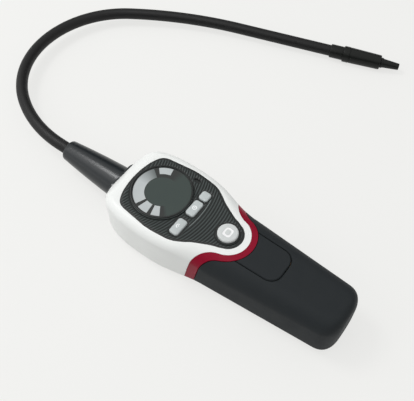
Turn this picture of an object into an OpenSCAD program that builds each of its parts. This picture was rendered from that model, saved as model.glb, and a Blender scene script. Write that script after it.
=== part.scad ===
// Hand-held refrigerant leak detector with a bendable gooseneck probe.
// +X points to the probe, +Z is the display side, the back lies on Z = 0 with the origin under the head.

/* [Body] */
// How much wider the grip is beside the power button than at its tail
grip_flare = 13.7; // [10:0.1:17]
// Width of the head
head_w = 62; // [60:0.5:70]
// Distance from the middle of the head to its front face
head_front_len = 42.4; // [41:0.2:45]
// Corner radius of the tail, seen from above
tail_r = 10; // [6:0.5:12]
// Rounding of the top and bottom edges at the tail
tail_edge_r = 5; // [3:0.5:6]
// Radius of the grip's top shoulders
grip_shoulder_r = 14; // [10:0.5:15]
// Radius of the head's top shoulders
head_shoulder_r = 6; // [4:0.5:8]
// Radius of the bottom corners
foot_r = 8; // [5:0.5:9]
// Wall thickness of the moulded shells
wall = 2; // [1.6:0.1:2.4]
// Height of the joint between upper and lower housing
seam_z = 11; // [9:0.5:13]

/* [Trim band] */
// Radius of the white tongue round the power button
tongue_r = 14.3; // [13.5:0.1:15.5]
// Width of the band behind the tongue
band_w = 3.9; // [3:0.1:4.6]
// Where the white ends on the body's side, from the power button
tongue_side = 8.5; // [7.5:0.1:9.5]
// Width of the band on the body's side
band_side_w = 6.1; // [4:0.1:7]
// Fillet that blends the tongue into the side
tongue_fillet = 16; // [14:0.5:17]
// Forward lean of the band on the body's sides
band_lean = 11; // [8:0.2:14]

/* [Faceplate] */
// Distance from the power button to the dial
dial_to_power = 51.4; // [50:0.1:53]
// Distance from the dial to the plate's front edge
plate_front = 22.2; // [21.5:0.1:23.5]
// Width of the plate
plate_w = 51.8; // [50:0.2:54]
// Radius of the plate's tongue round the power button
plate_tongue_r = 10.4; // [9.8:0.1:11.5]
// Thickness of the plate
plate_t = 2; // [1.6:0.1:2.4]
// Spacing of the ribs
rib_pitch = 1.9; // [1.6:0.1:2.4]
// Height of the ribs
rib_h = 0.45; // [0.3:0.05:0.6]
// Radius the ribs are bent to
rib_bend = 60; // [50:1:80]
// Outer radius of the dial's raised ring
dial_r = 20.1; // [19.4:0.1:20.4]
// Width of the dial's raised ring
dial_ring_w = 1.1; // [0.8:0.1:1.6]

/* [Keys] */
// Distance from the power button to the key row
key_row = 27.2; // [26.6:0.1:27.4]
// Size of a key along the body
key_depth = 6.5; // [5.8:0.1:6.7]
// Length of the middle and lower keys
key_len = 12; // [11:0.1:12.4]
// Length of the small key
key_small_len = 6.8; // [6:0.1:7.2]
// Height of the keys above the plate
key_proud = 1.5; // [1:0.1:1.8]
// Key travel
key_travel = 0.6; // [0.4:0.05:0.7]
// Radius of the power button
power_r = 6.6; // [6:0.1:7]
// Height of the power button above the plate
power_proud = 2.4; // [1.6:0.1:2.8]
// Power button travel
power_travel = 0.8; // [0.5:0.05:0.9]

/* [Probe] */
// Height of the probe's axis above the back
axis_z = 14.3; // [13:0.1:15]
// Diameter of the gooseneck
neck_d = 8.7; // [8:0.1:9.4]
// Length of the boot
boot_len = 50.6; // [44:0.2:56]
// Diameter of the boot at the head
boot_base_d = 23.4; // [22:0.1:23.6]
// Diameter of the boot at the gooseneck
boot_tip_d = 14.8; // [13.5:0.1:15.5]
// Swell of the boot between its ends
boot_swell = 0.4; // [0.2:0.05:0.6]
// Straight run of the gooseneck out of the boot
neck_lead = 9.4; // [6:0.2:20]
// Radius of the first bend
bend_r = 94.2; // [80:0.1:110]
// Angle of the first bend
bend_a = 33.3; // [28:0.1:38]
// Radius of the second bend
curl_r = 71.4; // [62:0.1:82]
// Angle of the second bend
curl_a = 49.1; // [44:0.1:54]
// Radius of the third bend
hook_r = 75.5; // [66:0.1:86]
// Angle of the third bend
hook_a = 62.5; // [56:0.1:68]
// Radius of the slow bend after it
sweep_r = 310; // [280:1:360]
// Angle of the slow bend
sweep_a = 17.1; // [14:0.1:20]
// Straight run before the tip
neck_run = 76.6; // [64:0.2:90]
// Length of the ferrule
ferrule_len = 10.6; // [9:0.1:12]
// Diameter of the ferrule
ferrule_d = 10.6; // [10.4:0.1:11.4]
// Length of the sensor cap
cap_len = 30; // [28:0.2:34]
// Diameter of the sensor cap at the ferrule
cap_d = 12.5; // [12.2:0.1:13.6]
// Diameter of the sensor cap at the nose
cap_tip_d = 11.2; // [11:0.1:12]
// Length of the nose
nose_len = 14.6; // [12:0.2:18]
// Diameter of the nose at the cap
nose_d = 7; // [6.4:0.1:7.6]
// Diameter of the nose at its end
nose_tip_d = 4.7; // [4.4:0.1:6]

/* [Batteries] */
// Diameter of a cell
cell_d = 14.4; // [12:0.1:16]
// Length of a cell without its button
cell_len = 49.5; // [44:0.1:56]
// Thickness of the tray's walls
tray_t = 0.8; // [0.6:0.1:1]
// Room under the cells
cell_room_low = 0.75; // [0.5:0.05:2]
// Room above the cells, where the latch tab dips
cell_room_top = 1.95; // [1.8:0.05:4]
// Room beside the cells at the tail
cell_room_side = 1; // [0.9:0.05:3]
// Room between the tray and the grip's tail
tail_room = 4.2; // [4:0.1:12]

/* [Latch tab] */
// Half width of the tab at the trim
tab_front = 12.1; // [11.6:0.1:12.6]
// Half width of the tab at its end
tab_end = 11.5; // [10.6:0.1:11.8]
// Distance from the power button to the tab's end
tab_reach = 41.6; // [38:0.1:44]
// Corner radius of the tab
tab_r = 7.5; // [5:0.1:8.5]

/* [Hidden] */
$fn = 48;

// Clearances
fit_gap = 0.1;      // between pieces that are fixed together
run_gap = 0.35;     // between pieces that move past each other
tab_gap = 0.4;      // round the latch tab

// The grip is sized round two pairs of cells
cell_off = cell_d / 2 + tray_t / 2 + 0.05;
cell_half = cell_off + cell_d / 2;
cell_z = wall + cell_room_low + cell_half;
grip_h = cell_z + cell_half + cell_room_top + wall;
grip_tail_w = 2 * (cell_half + cell_room_side + wall);
grip_front_w = grip_tail_w + grip_flare;
face_z = grip_h;
contact_reach = 3;
rear_plate_t = 1.5;
bulkhead_back = tongue_r + band_w + 6.5;
tray_len = contact_reach + cell_len + 1 + contact_reach - 0.7 + rear_plate_t;
grip_len = bulkhead_back + tray_len + tail_room;

// Places along the body
head_mid = 0;
dial_x = head_mid + 8.1;
power_x = dial_x - dial_to_power;
key_x = power_x + key_row;
head_reach = head_front_len + 1.5;
head_power = 3;
front_x = head_mid + head_front_len;
tail_x = power_x - grip_len;
neck_in_x = power_x + 3;
grip_top_x = power_x - 40;
face_front_x = dial_x + plate_front;
front_drop = 10.3;
front_rise = 2.6;
rise_len = 15;

function smooth(t) = let (u = min(1, max(0, t))) u * u * (3 - 2 * u);
function mix(a, b, t) = a + (b - a) * t;
function corner(r, d) = r - sqrt(max(0, r * r - d * d));

// Half width of the grip, tapering to the tail
function grip_half(x) = mix(grip_tail_w, grip_front_w, (x - tail_x) / grip_len) / 2;
// Half width of the body before the tail is rounded
function side(x) = x > head_mid
  ? head_w / 2 * pow(1 - pow((x - head_mid) / head_reach, head_power), 1 / head_power)
  : mix(grip_half(x), head_w / 2, smooth((x - neck_in_x) / (head_mid - neck_in_x)));
function half_w(x, inset) =
  side(x) - inset - corner(tail_r - inset, max(0, tail_x + tail_r - x));
function top_z(x, inset) =
  mix(grip_h, face_z, smooth((x - grip_top_x) / (neck_in_x - 20 - grip_top_x)))
  - front_drop * pow(max(0, x - face_front_x) / (front_x - face_front_x), 2)
  - inset - corner(tail_edge_r - inset, max(0, tail_x + tail_edge_r - x));
function bottom_z(x, inset) =
  front_rise * pow(max(0, x - front_x + rise_len) / rise_len, 2)
  + inset + corner(tail_edge_r - inset, max(0, tail_x + tail_edge_r - x));
function shoulder_r(x) =
  x > neck_in_x - 8
  ? mix(grip_shoulder_r, head_shoulder_r, smooth((x - neck_in_x + 8) / 30))
  : mix(grip_shoulder_r - 4, grip_shoulder_r, (x - tail_x) / grip_len);

// Points of one quarter of a rounded section, turning through 90 degrees
function quarter(cy, cz, r, from, n) =
  [for (i = [0:n]) [cy + r * cos(from + 90 * i / n), cz + r * sin(from + 90 * i / n)]];
function section(w, low, high, r_top, r_foot, n) = let (
    rt = min(r_top, w - 0.3, (high - low) * 0.6),
    rf = min(r_foot, w - 0.3, (high - low) * 0.39)
  ) concat(
    quarter(w - rt, high - rt, rt, 0, n),
    quarter(-w + rt, high - rt, rt, 90, n),
    quarter(-w + rf, low + rf, rf, 180, n),
    quarter(w - rf, low + rf, rf, 270, n)
  );

// Stations of the lofted body, closer together where it curves
function tail_stations(inset) =
  [for (a = [0:18:90]) tail_x + tail_r - (tail_r - inset) * cos(a)];
function waist_stations() = [for (i = [0:10]) mix(power_x - 24, head_mid, i / 10)];
function front_stations(inset) =
  [for (i = [1:8]) mix(head_mid, front_x - inset, sin(i * 11.25))];
function stations(inset) = concat(
  tail_stations(inset),
  [mix(tail_x + tail_r, power_x - 24, 0.5)],
  waist_stations(),
  front_stations(inset)
);

slice = 0.01;
module body_slice(x, inset) {
  translate([x, 0, 0])
    rotate([90, 0, 90])
      linear_extrude(slice)
        polygon(section(
          half_w(x, inset), bottom_z(x, inset), top_z(x, inset),
          max(0.6, shoulder_r(x) - inset), max(0.6, foot_r - inset),
          inset > 0 ? 3 : 5
        ));
}
// The body's outer form, or the same form shrunk by an inset
module body_loft(inset) {
  xs = stations(inset);
  for (i = [0:len(xs) - 2])
    hull() {
      body_slice(xs[i], inset);
      body_slice(xs[i + 1], inset);
    }
}
module body_shell() {
  difference() {
    body_loft(0);
    body_loft(wall);
  }
}

// Plan of the white tongue: a round end blended into a straight side line
module tongue_2d(r, line_x, fillet) {
  offset(r = -fillet)
    offset(r = fillet)
      union() {
        translate([power_x, 0]) circle(r);
        translate([line_x, -80]) square([200, 160]);
      }
}
// Where that outline crosses the body's side
function side_line(r, line_x, fillet, y) = let (
    cx = line_x - fillet,
    cy = sqrt(pow(r + fillet, 2) - pow(cx - power_x, 2))
  ) y >= cy ? line_x : cx + sqrt(max(0, fillet * fillet - pow(cy - y, 2)));
tongue_low = 16;    // below this height only the side line is left
// The outline leans forward as it goes down the sides
module leaning() {
  translate([power_x, 0, face_z]) rotate([0, -band_lean, 0]) translate([-power_x, 0, -60]) children();
}
module zone(r, line_x, fillet) {
  low_x = side_line(r, line_x, fillet, side(line_x));
  intersection() {
    leaning() linear_extrude(80) tongue_2d(r, line_x, fillet);
    translate([-200, -80, tongue_low]) cube([400, 160, 60]);
  }
  intersection() {
    leaning() translate([low_x, -80, 0]) cube([200, 160, 80]);
    translate([-200, -80, -10]) cube([400, 160, tongue_low + 10.01]);
  }
}
module tongue_zone(grow) {
  zone(tongue_r + grow, power_x + tongue_side - grow, tongue_fillet);
}
// The band is wider on the sides than behind the tongue
module band_zone(grow) {
  zone(tongue_r + band_w + grow, power_x + tongue_side - band_side_w - grow, tongue_fillet - 4);
}

// Plan of the faceplate
plate_corner_r = 7.5;
plate_blend = 85;   // hollow curve between the plate's head and its tongue
module plate_2d(grow) {
  half = plate_w / 2;
  offset(r = grow)
    offset(r = -plate_blend)
      offset(r = plate_blend)
        union() {
          hull() {
            intersection() {
              translate([dial_x - 32.7, 0]) circle(plate_front + 32.7, $fn = 96);
              translate([dial_x + 2, -half + 11]) square([40, plate_w - 22]);
            }
            for (s = [-1, 1]) {
              translate([face_front_x - 10.6, s * (half - 10)]) circle(plate_corner_r);
              translate([dial_x - 9, s * (half - 20)]) circle(20);
              translate([key_x + 4, s * (half - 20)]) circle(19);
            }
          }
          translate([power_x, 0]) circle(plate_tongue_r);
        }
}

// Heights inside the head
plate_z = face_z - plate_t;
board_t = 1.6;
board_z = face_z - 10.3;
board_top = board_z + board_t;
module_top = plate_z - fit_gap;
ledge_w = 2.5;
ledge_t = 2.3;
dial_hole_r = dial_r - dial_ring_w;
lens_r = dial_hole_r - fit_gap;
ring_proud = 1.8;
lens_top = face_z + ring_proud - 0.8;

// Screw bosses against the side walls
boss_r = 3.6;
screw_r = 1.2;
head_r = 2.3;
boss_x = [face_front_x - 6.3, power_x + 21];
function boss_y(x) = side(x) - wall - boss_r + 0.2;
screw_seat = 4;
screw_head_h = 1.6;
boss_top = board_z - 3.1;
post_r = 2.3;
post_xy = [
  [dial_x + 16, 13.8], [dial_x + 16, -13.8],
  [power_x + 21.3, 8.4], [power_x + 21.3, -8.4]
];

module side_bosses(z0, z1) {
  intersection() {
    for (x = boss_x, s = [-1, 1])
      translate([x, s * boss_y(x), z0]) cylinder(h = z1 - z0, r = boss_r, $fn = 20);
    body_loft(wall / 2);
  }
}
module side_screw_holes(z0, z1, r) {
  for (x = boss_x, s = [-1, 1])
    translate([x, s * boss_y(x), z0]) cylinder(h = z1 - z0, r = r, $fn = 16);
}
module neck_hole() {
  translate([front_x - 12, 0, axis_z]) rotate([0, 90, 0]) cylinder(h = 20, d = neck_d + 2 * fit_gap);
}

module upper_housing() {
  color("white")
    difference() {
      union() {
        intersection() {
          body_shell();
          tongue_zone(-fit_gap / 2);
          translate([-200, -80, seam_z + fit_gap / 2]) cube([400, 160, 60]);
        }
        intersection() {
          translate([0, 0, plate_z - ledge_t]) linear_extrude(ledge_t) plate_2d(1.6);
          body_loft(wall / 2);
        }
        side_bosses(seam_z + fit_gap / 2, boss_top);
      }
      translate([0, 0, plate_z]) linear_extrude(20) plate_2d(fit_gap);
      translate([0, 0, plate_z - 10]) linear_extrude(20) plate_2d(-ledge_w);
      side_screw_holes(0, boss_top - 2, screw_r + fit_gap);
      neck_hole();
    }
}

module lower_housing() {
  color("white")
    difference() {
      union() {
        intersection() {
          body_shell();
          tongue_zone(-fit_gap / 2);
          translate([-200, -80, -1]) cube([400, 160, seam_z - fit_gap / 2 + 1]);
        }
        side_bosses(wall / 2, seam_z - fit_gap / 2);
        for (p = post_xy)
          translate([p[0], p[1], wall / 2])
            cylinder(h = board_z - wall / 2 - fit_gap, r = post_r, $fn = 20);
      }
      side_screw_holes(-1, seam_z + 1, screw_r + fit_gap);
      side_screw_holes(-1, screw_seat, head_r + fit_gap);
      for (p = post_xy)
        translate([p[0], p[1], board_z - 8]) cylinder(h = 20, r = screw_r, $fn = 16);
      neck_hole();
    }
}

module trim_band() {
  color("firebrick")
    intersection() {
      body_shell();
      difference() {
        band_zone(-fit_gap / 2);
        tongue_zone(fit_gap / 2);
      }
    }
}

// A slot with round corners, centred on its middle
module rounded_2d(depth, length, r) {
  square([depth - 2 * r, length], center = true);
  square([depth, length - 2 * r], center = true);
  for (sx = [-1, 1], sy = [-1, 1])
    translate([sx * (depth / 2 - r), sy * (length / 2 - r)]) circle(r);
}
key_r = 1.8;
key_middle_y = -2.4;
key_pitch = key_len + 4.4;
key_lower_y = key_middle_y + key_pitch;
key_small_y = key_middle_y - key_len / 2 - 1.6 - key_small_len / 2;
key_rows = [[key_small_y, key_small_len], [key_middle_y, key_len], [key_lower_y, key_len]];
key_flange = 0.8;
module key_2d(length, grow) {
  rounded_2d(key_depth + 2 * grow, length + 2 * grow, key_r + grow);
}

// A rib, with its back towards the tail
module rib_2d(x, width) {
  translate([x + rib_bend, 0])
    difference() {
      circle(rib_bend, $fn = 64);
      circle(rib_bend - width, $fn = 64);
    }
}
// The crest is a taller rib behind the keys
crest_x = key_x - 6.1;
crest_w = 0.8;
crest_h = 0.7;
crest_from = -15.5;
crest_len = 27.5;
module crest_2d(grow) {
  intersection() {
    rib_2d(crest_x - grow, crest_w + 2 * grow);
    translate([crest_x - 1, crest_from - grow]) square([8, crest_len + 2 * grow]);
  }
}
// Small blind sound port beside the dial
port_place = [dial_x - 12.6, -20.8];
port_len = 4.4;
port_w = 1.8;
port_deep = 0.9;
module port_2d(grow) {
  translate(port_place) rounded_2d(port_len + 2 * grow, port_w + 2 * grow, port_w / 2 - 0.1 + grow);
}

// Smooth fields on the plate where no ribs run
module smooth_fields_2d() {
  translate([dial_x, 0]) circle(dial_r + 0.6);
  for (k = key_rows)
    translate([key_x, k[0]]) key_2d(k[1], 1);
  translate([power_x, 0]) circle(power_r + 1.4);
  crest_2d(0.3);
  port_2d(0.5);
}
sink = 0.2;         // raised forms start this far inside the plate
collar_w = 1.2;
collar_h = 0.6;
module faceplate() {
  color("#2f3332")
    difference() {
      union() {
        translate([0, 0, plate_z]) linear_extrude(plate_t) plate_2d(0);
        translate([0, 0, face_z - sink])
          linear_extrude(rib_h + sink)
            difference() {
              intersection() {
                plate_2d(-1);
                for (i = [-4:ceil((face_front_x - power_x + plate_tongue_r) / rib_pitch)])
                  rib_2d(power_x - plate_tongue_r + i * rib_pitch, rib_pitch / 2);
              }
              smooth_fields_2d();
            }
        translate([dial_x, 0, face_z - sink]) cylinder(h = ring_proud + sink, r = dial_r);
        translate([0, 0, face_z - sink]) linear_extrude(crest_h + sink) crest_2d(0);
        translate([power_x, 0, face_z - sink]) cylinder(h = collar_h + sink, r = power_r + collar_w);
      }
      translate([0, 0, face_z - port_deep]) linear_extrude(10) port_2d(0);
      translate([dial_x, 0, plate_z - 1]) cylinder(h = 10, r = dial_hole_r);
      for (k = key_rows)
        translate([key_x, k[0], plate_z - 1]) linear_extrude(10) key_2d(k[1], run_gap / 2);
      translate([power_x, 0, plate_z - 1]) cylinder(h = 10, r = power_r + run_gap / 2);
    }
}

// A ring sector, from angle a0 to a1
module sector_2d(r0, r1, a0, a1) {
  steps = 8;
  reach = r1 * 1.2;
  intersection() {
    difference() {
      circle(r1);
      circle(r0);
    }
    polygon(concat(
      [[0, 0]],
      [for (i = [0:steps]) reach * [cos(mix(a0, a1, i / steps)), sin(mix(a0, a1, i / steps))]]
    ));
  }
}
// Light windows: inner radius, outer radius and angles about the dial
window_in = 11.1;
window_out = 18.3;
top_in = 13.4;
window_gap = 8.5;   // angle between the lower windows
function next_window(after, span) = [after + window_gap, after + window_gap + span];
window_top = [-76, -46];
window_arc = [-36, 66];
window_low_left = next_window(window_arc[1], 23);
window_bottom = next_window(window_low_left[1], 18);
module window_2d(span, r0, grow) {
  ease = grow / r0 * 57.3;
  sector_2d(r0 - grow, window_out + grow, span[0] - ease, span[1] + ease);
}
module display_lens() {
  color("#3f4a47")
    translate([dial_x, 0, plate_z])
      linear_extrude(lens_top - plate_z)
        difference() {
          circle(lens_r);
          window_2d(window_top, top_in, fit_gap);
          window_2d(window_arc, window_in, fit_gap);
          window_2d(window_low_left, window_in, fit_gap);
          window_2d(window_bottom, window_in, fit_gap);
        }
}
module light_window(span, r0) {
  color("#c5cacb")
    translate([dial_x, 0, plate_z]) linear_extrude(lens_top - plate_z + 0.1) window_2d(span, r0, 0);
}
module light_top() { light_window(window_top, top_in); }
module light_arc() { light_window(window_arc, window_in); }
module light_low_left() { light_window(window_low_left, window_in); }
module light_bottom() { light_window(window_bottom, window_in); }

module display_module() {
  color("#1f4a36")
    translate([dial_x, 0, board_top + fit_gap])
      cylinder(h = module_top - board_top - fit_gap, r = lens_r - 0.3);
}

// Keys are held up under the plate by their flanges
flange_top = plate_z - 0.3;
key_foot = flange_top - 1.3;
module key(length, y) {
  color("#c9cdcd")
    translate([key_x, y, 0]) {
      translate([0, 0, key_foot])
        linear_extrude(face_z + key_proud - key_foot) key_2d(length, 0);
      translate([0, 0, key_foot])
        linear_extrude(flange_top - key_foot) key_2d(length, key_flange * 0.75);
    }
}
module key_small() { key(key_small_len, key_small_y); }
module key_middle() { key(key_len, key_middle_y); }
module key_lower() { key(key_len, key_lower_y); }

power_top = face_z + power_proud;
// A square ring with round corners is sunk into the power button
mark_depth = 5.4;
mark_len = 6.2;
mark_w = 1;
mark_r = 1.6;
module power_button() {
  color("#c9cdcd")
    translate([power_x, 0, 0])
      difference() {
        rotate_extrude()
          polygon([
            [0, key_foot], [power_r + key_flange, key_foot], [power_r + key_flange, flange_top],
            [power_r, flange_top], [power_r, power_top - 1.2], [power_r - 0.35, power_top - 0.5],
            [power_r - 1.2, power_top], [0, power_top]
          ]);
        translate([0, 0, power_top - 0.25])
          linear_extrude(1)
            difference() {
              rounded_2d(mark_depth, mark_len, mark_r);
              rounded_2d(mark_depth - 2 * mark_w, mark_len - 2 * mark_w, mark_r - mark_w / 2);
            }
      }
}

switch_clear = 0.1;
module main_board() {
  color("darkgreen")
    difference() {
      translate([0, 0, board_z]) linear_extrude(board_t) plate_2d(-4.6);
      for (p = post_xy)
        translate([p[0], p[1], board_z - 1]) cylinder(h = 4, r = screw_r + fit_gap);
    }
}
module tact_switch(x, y, travel) {
  plunger_top = key_foot - travel - switch_clear;
  translate([x, y, board_top]) {
    translate([-3, -3, 0]) cube([6, 6, 3]);
    cylinder(h = plunger_top - board_top, r = 1.7);
  }
}
module key_switches() {
  color("dimgray") {
    for (k = key_rows)
      tact_switch(key_x, k[0], key_travel);
    tact_switch(power_x, 0, power_travel);
  }
}
buzzer_r = 6;
buzzer_h = 7;
module buzzer() {
  color("black")
    translate([dial_x - 14, 0, board_z - fit_gap - buzzer_h])
      difference() {
        cylinder(h = buzzer_h, r = buzzer_r);
        translate([0, 0, -1]) cylinder(h = 2.5, r = 1);
      }
}
module board_screws() {
  color("silver")
    for (p = post_xy)
      translate([p[0], p[1], 0]) {
        translate([0, 0, board_top]) cylinder(h = 1.2, r = 1.8);
        translate([0, 0, board_z - 6]) cylinder(h = board_t + 6.1, r = screw_r - fit_gap);
      }
}
module housing_screws() {
  color("silver")
    for (x = boss_x, s = [-1, 1])
      translate([x, s * boss_y(x), 0]) {
        translate([0, 0, screw_seat - screw_head_h]) cylinder(h = screw_head_h - fit_gap / 2, r = head_r);
        translate([0, 0, screw_seat - 0.2]) cylinder(h = boss_top - screw_seat - 3, r = screw_r);
      }
}

// The probe leaves the head along the body's axis
boot_x = front_x + fit_gap;
boot_end_x = front_x + boot_len;
module along_axis(x) {
  translate([x, 0, axis_z]) rotate([0, 90, 0]) children();
}
flange_t = 1.6;
flange_in = 0.4;
module boot_flange() {
  translate([boot_x, 0, 0])
    rotate([90, 0, 90])
      linear_extrude(flange_t)
        polygon(section(
          half_w(front_x, flange_in), bottom_z(front_x, flange_in), top_z(front_x, flange_in),
          shoulder_r(front_x) - flange_in, foot_r - flange_in, 5
        ));
}
module neck_boot() {
  bore = neck_d / 2 + fit_gap;
  tip = boot_tip_d / 2;
  reach = boot_len - fit_gap;
  edge = 1.2;
  color("#26282a")
    difference() {
      union() {
        boot_flange();
        along_axis(boot_x)
          rotate_extrude()
            polygon(concat(
              [[0, 0.3]],
              [for (t = [0:0.1:0.9])
                [mix(boot_base_d / 2, tip, t) + boot_swell * sin(180 * t), mix(0.3, reach - edge, t)]],
              [for (a = [10:20:90]) [tip - edge + edge * cos(a), reach - edge + edge * sin(a)]],
              [[0, reach]]
            ));
      }
      along_axis(boot_x - 1) cylinder(h = boot_len + 2, r = bore);
    }
}
nut_x = front_x - wall - fit_gap;
module neck_nut() {
  color("silver")
    difference() {
      along_axis(nut_x - 5) cylinder(h = 5, d = 15, $fn = 6);
      along_axis(nut_x - 6) cylinder(h = 8, d = neck_d + 2 * fit_gap);
    }
}

// The gooseneck bends in a plane that dips until the tip rests on the table
function ahead(a) = [cos(a), -sin(a)];
function arc_centre(p, r, a) = p - r * [sin(a), cos(a)];
function arc_end(c, r, a) = c + r * [sin(a), cos(a)];
curl_turn = bend_a + curl_a;
hook_turn = curl_turn + hook_a;
turn = hook_turn + sweep_a;
bend_c = arc_centre([neck_lead, 0], bend_r, 0);
bend_p = arc_end(bend_c, bend_r, bend_a);
curl_c = arc_centre(bend_p, curl_r, bend_a);
curl_p = arc_end(curl_c, curl_r, curl_turn);
hook_c = arc_centre(curl_p, hook_r, curl_turn);
hook_p = arc_end(hook_c, hook_r, hook_turn);
sweep_c = arc_centre(hook_p, sweep_r, hook_turn);
sweep_p = arc_end(sweep_c, sweep_r, turn);
cap_p = sweep_p + (neck_run + ferrule_len) * ahead(turn);
neck_dip = asin((axis_z - cap_d / 2) / -cap_p[1]);
module neck_plane() {
  translate([boot_end_x, 0, axis_z]) rotate([neck_dip, 0, 0]) children();
}
// Local frame of the tip: Z runs along the probe, zero at the cap's rear face
module tip_frame() {
  neck_plane() translate([cap_p[0], cap_p[1], 0]) rotate([0, 0, -turn]) rotate([0, 90, 0]) children();
}
neck_end = -2.2;
// The straight runs lap a little over the bends and are a hair thicker
lap = 0.4;
run_d = neck_d + 0.03;
module bent_run(c, r, from, angle) {
  translate([c[0], c[1], 0]) rotate([0, 0, 90 - from - angle])
    rotate_extrude(angle = angle) translate([r, 0]) circle(d = neck_d);
}
module bend_joint(p, heading) {
  translate([p[0], p[1], 0]) rotate([0, 0, -heading]) rotate([0, 90, 0])
    translate([0, 0, -lap]) cylinder(h = 2 * lap, d = run_d);
}
module gooseneck() {
  inside = boot_len + wall + 9;
  color("#2a2a2a")
    union() {
      neck_plane() {
        translate([-inside, 0, 0]) rotate([0, 90, 0]) cylinder(h = inside + neck_lead + lap, d = run_d);
        bent_run(bend_c, bend_r, 0, bend_a);
        bend_joint(bend_p, bend_a);
        bent_run(curl_c, curl_r, bend_a, curl_a);
        bend_joint(curl_p, curl_turn);
        bent_run(hook_c, hook_r, curl_turn, hook_a);
        bend_joint(hook_p, hook_turn);
        bent_run(sweep_c, sweep_r, hook_turn, sweep_a);
      }
      tip_frame()
        translate([0, 0, -neck_run - ferrule_len - lap])
          cylinder(h = neck_run + ferrule_len + neck_end + lap, d = run_d);
    }
}
module neck_ferrule() {
  r = ferrule_d / 2;
  color("#1d1e1f")
    tip_frame()
      rotate_extrude()
        polygon([
          [neck_d / 2 + fit_gap, -ferrule_len], [r - 0.5, -ferrule_len], [r, -ferrule_len + 0.5],
          [r, -fit_gap], [0, -fit_gap], [0, neck_end + fit_gap], [neck_d / 2 + fit_gap, neck_end + fit_gap]
        ]);
}

// Socket under the sensor cap
socket_r = 4.8;
socket_t = 0.7;
socket_len = 20;
socket_front = 0;
insert_len = 12;
insert_front = socket_front + insert_len + 1;
module socket_sleeve() {
  lip = 0.35;
  inner = socket_r - socket_t;
  color("silver")
    tip_frame()
      rotate_extrude()
        polygon(concat(
          [[inner, socket_front], [socket_r, socket_front]],
          [for (a = [0:30:180]) [socket_r - lip + lip * cos(a), socket_len - lip + lip * sin(a)]],
          [[inner, socket_len - 1.2], [inner + 0.2, socket_len - 1.5], [inner + 0.2, socket_len - 2.1],
           [inner, socket_len - 2.4]]
        ));
}
pin_r = 0.5;
pin_y = 1.5;
pin_top = insert_front + 5;
pin_in = 4;
module pin_places() {
  for (s = [-1, 1]) translate([s * 0.6, s * pin_y, 0]) children();
}
module socket_insert() {
  color("#161718")
    tip_frame()
      difference() {
        translate([0, 0, socket_front]) cylinder(h = insert_len + 1, r = socket_r - socket_t - fit_gap);
        pin_places() translate([0, 0, insert_front - pin_in]) cylinder(h = 10, r = pin_r + fit_gap);
      }
}
ring_t = 1.2;
ring_w = 0.9;
module insulator_ring() {
  outer = socket_r - socket_t - fit_gap;
  color("#2c4d86")
    tip_frame()
      translate([0, 0, insert_front + fit_gap])
        difference() {
          cylinder(h = ring_t, r = outer);
          translate([0, 0, -1]) cylinder(h = ring_t + 2, r = outer - ring_w);
        }
}
module contact_pins() {
  color("gold")
    tip_frame()
      pin_places()
        translate([0, 0, insert_front - pin_in + fit_gap]) {
          cylinder(h = pin_top - insert_front + pin_in - pin_r, r = pin_r);
          translate([0, 0, pin_top - insert_front + pin_in - pin_r]) sphere(pin_r);
        }
}
cell_front = insert_front + 2 * fit_gap + ring_t + 0.6;
sensor_len = 9.4;
sensor_r = socket_r - socket_t - 0.3;
module sensor_cell() {
  color("gainsboro")
    tip_frame()
      difference() {
        union() {
          translate([0, 0, cell_front]) cylinder(h = sensor_len, r = sensor_r);
          translate([0, 0, cell_front - 0.6]) cylinder(h = 1, r = sensor_r - ring_w - 0.2);
        }
        pin_places() translate([0, 0, 0]) cylinder(h = pin_top + 0.5, r = pin_r + fit_gap);
      }
}
cap_bore_r = socket_r + run_gap;
cap_step = socket_len + 0.6;
cap_chamber = cell_front + sensor_len + 1;
nose_spigot = 3;
nose_bore_r = 1.3;
module sensor_cap() {
  r = cap_d / 2;
  tip = cap_tip_d / 2;
  edge = 0.8;
  color("#222426")
    tip_frame()
      rotate_extrude()
        polygon([
          [cap_bore_r, 0], [r - 0.5, 0], [r, 0.5], [r, 5], [r - 0.25, 5.3],
          [tip, cap_len - edge], [tip - edge, cap_len], [nose_d / 2 - 0.6, cap_len],
          [nose_d / 2 - 0.6, cap_chamber], [sensor_r + run_gap, cap_chamber],
          [sensor_r + run_gap, cap_step], [cap_bore_r, cap_step]
        ]);
}
module probe_nose() {
  r = nose_d / 2;
  tip = nose_tip_d / 2;
  color("#1d1e1f")
    tip_frame()
      rotate_extrude()
        polygon([
          [nose_bore_r, cap_chamber + fit_gap], [r - 0.6 - fit_gap, cap_chamber + fit_gap],
          [r - 0.6 - fit_gap, cap_len + fit_gap],
          [r + 0.5, cap_len + fit_gap], [r + 0.5, cap_len + 1.6], [r, cap_len + 2],
          [tip + 0.2, cap_len + nose_len - 0.6], [tip - 0.3, cap_len + nose_len],
          [nose_bore_r, cap_len + nose_len]
        ]);
}

// Latch tab in the grip's top, pressed down to free the sleeve
tab_end_x = power_x - tab_reach;
module tab_2d(grow) {
  offset(r = grow)
    hull() {
      translate([power_x - 10, -tab_front]) square([1, 2 * tab_front]);
      for (s = [-1, 1])
        translate([tab_end_x + tab_r, s * (tab_end - tab_r)]) circle(tab_r, $fn = 32);
    }
}
module tab_prism(grow) {
  translate([0, 0, grip_h - 10]) linear_extrude(20) tab_2d(grow);
}
module battery_sleeve() {
  color("#2b2e30")
    difference() {
      body_shell();
      band_zone(run_gap);
      tab_prism(tab_gap);
    }
}
pivot_x = power_x - tongue_r - band_w + 2;
pivot_z = grip_h - wall - 3;
latch_pin_r = 1.2;
barrel_r = latch_pin_r + 1.1;
ear_y = 8.6;
ear_t = 2;
tongue_half = ear_y - run_gap;
bulkhead_x = power_x - bulkhead_back;
bulkhead_t = 2.5;
arm_x = bulkhead_x - 1.3;
arm_len = 6.2;
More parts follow.
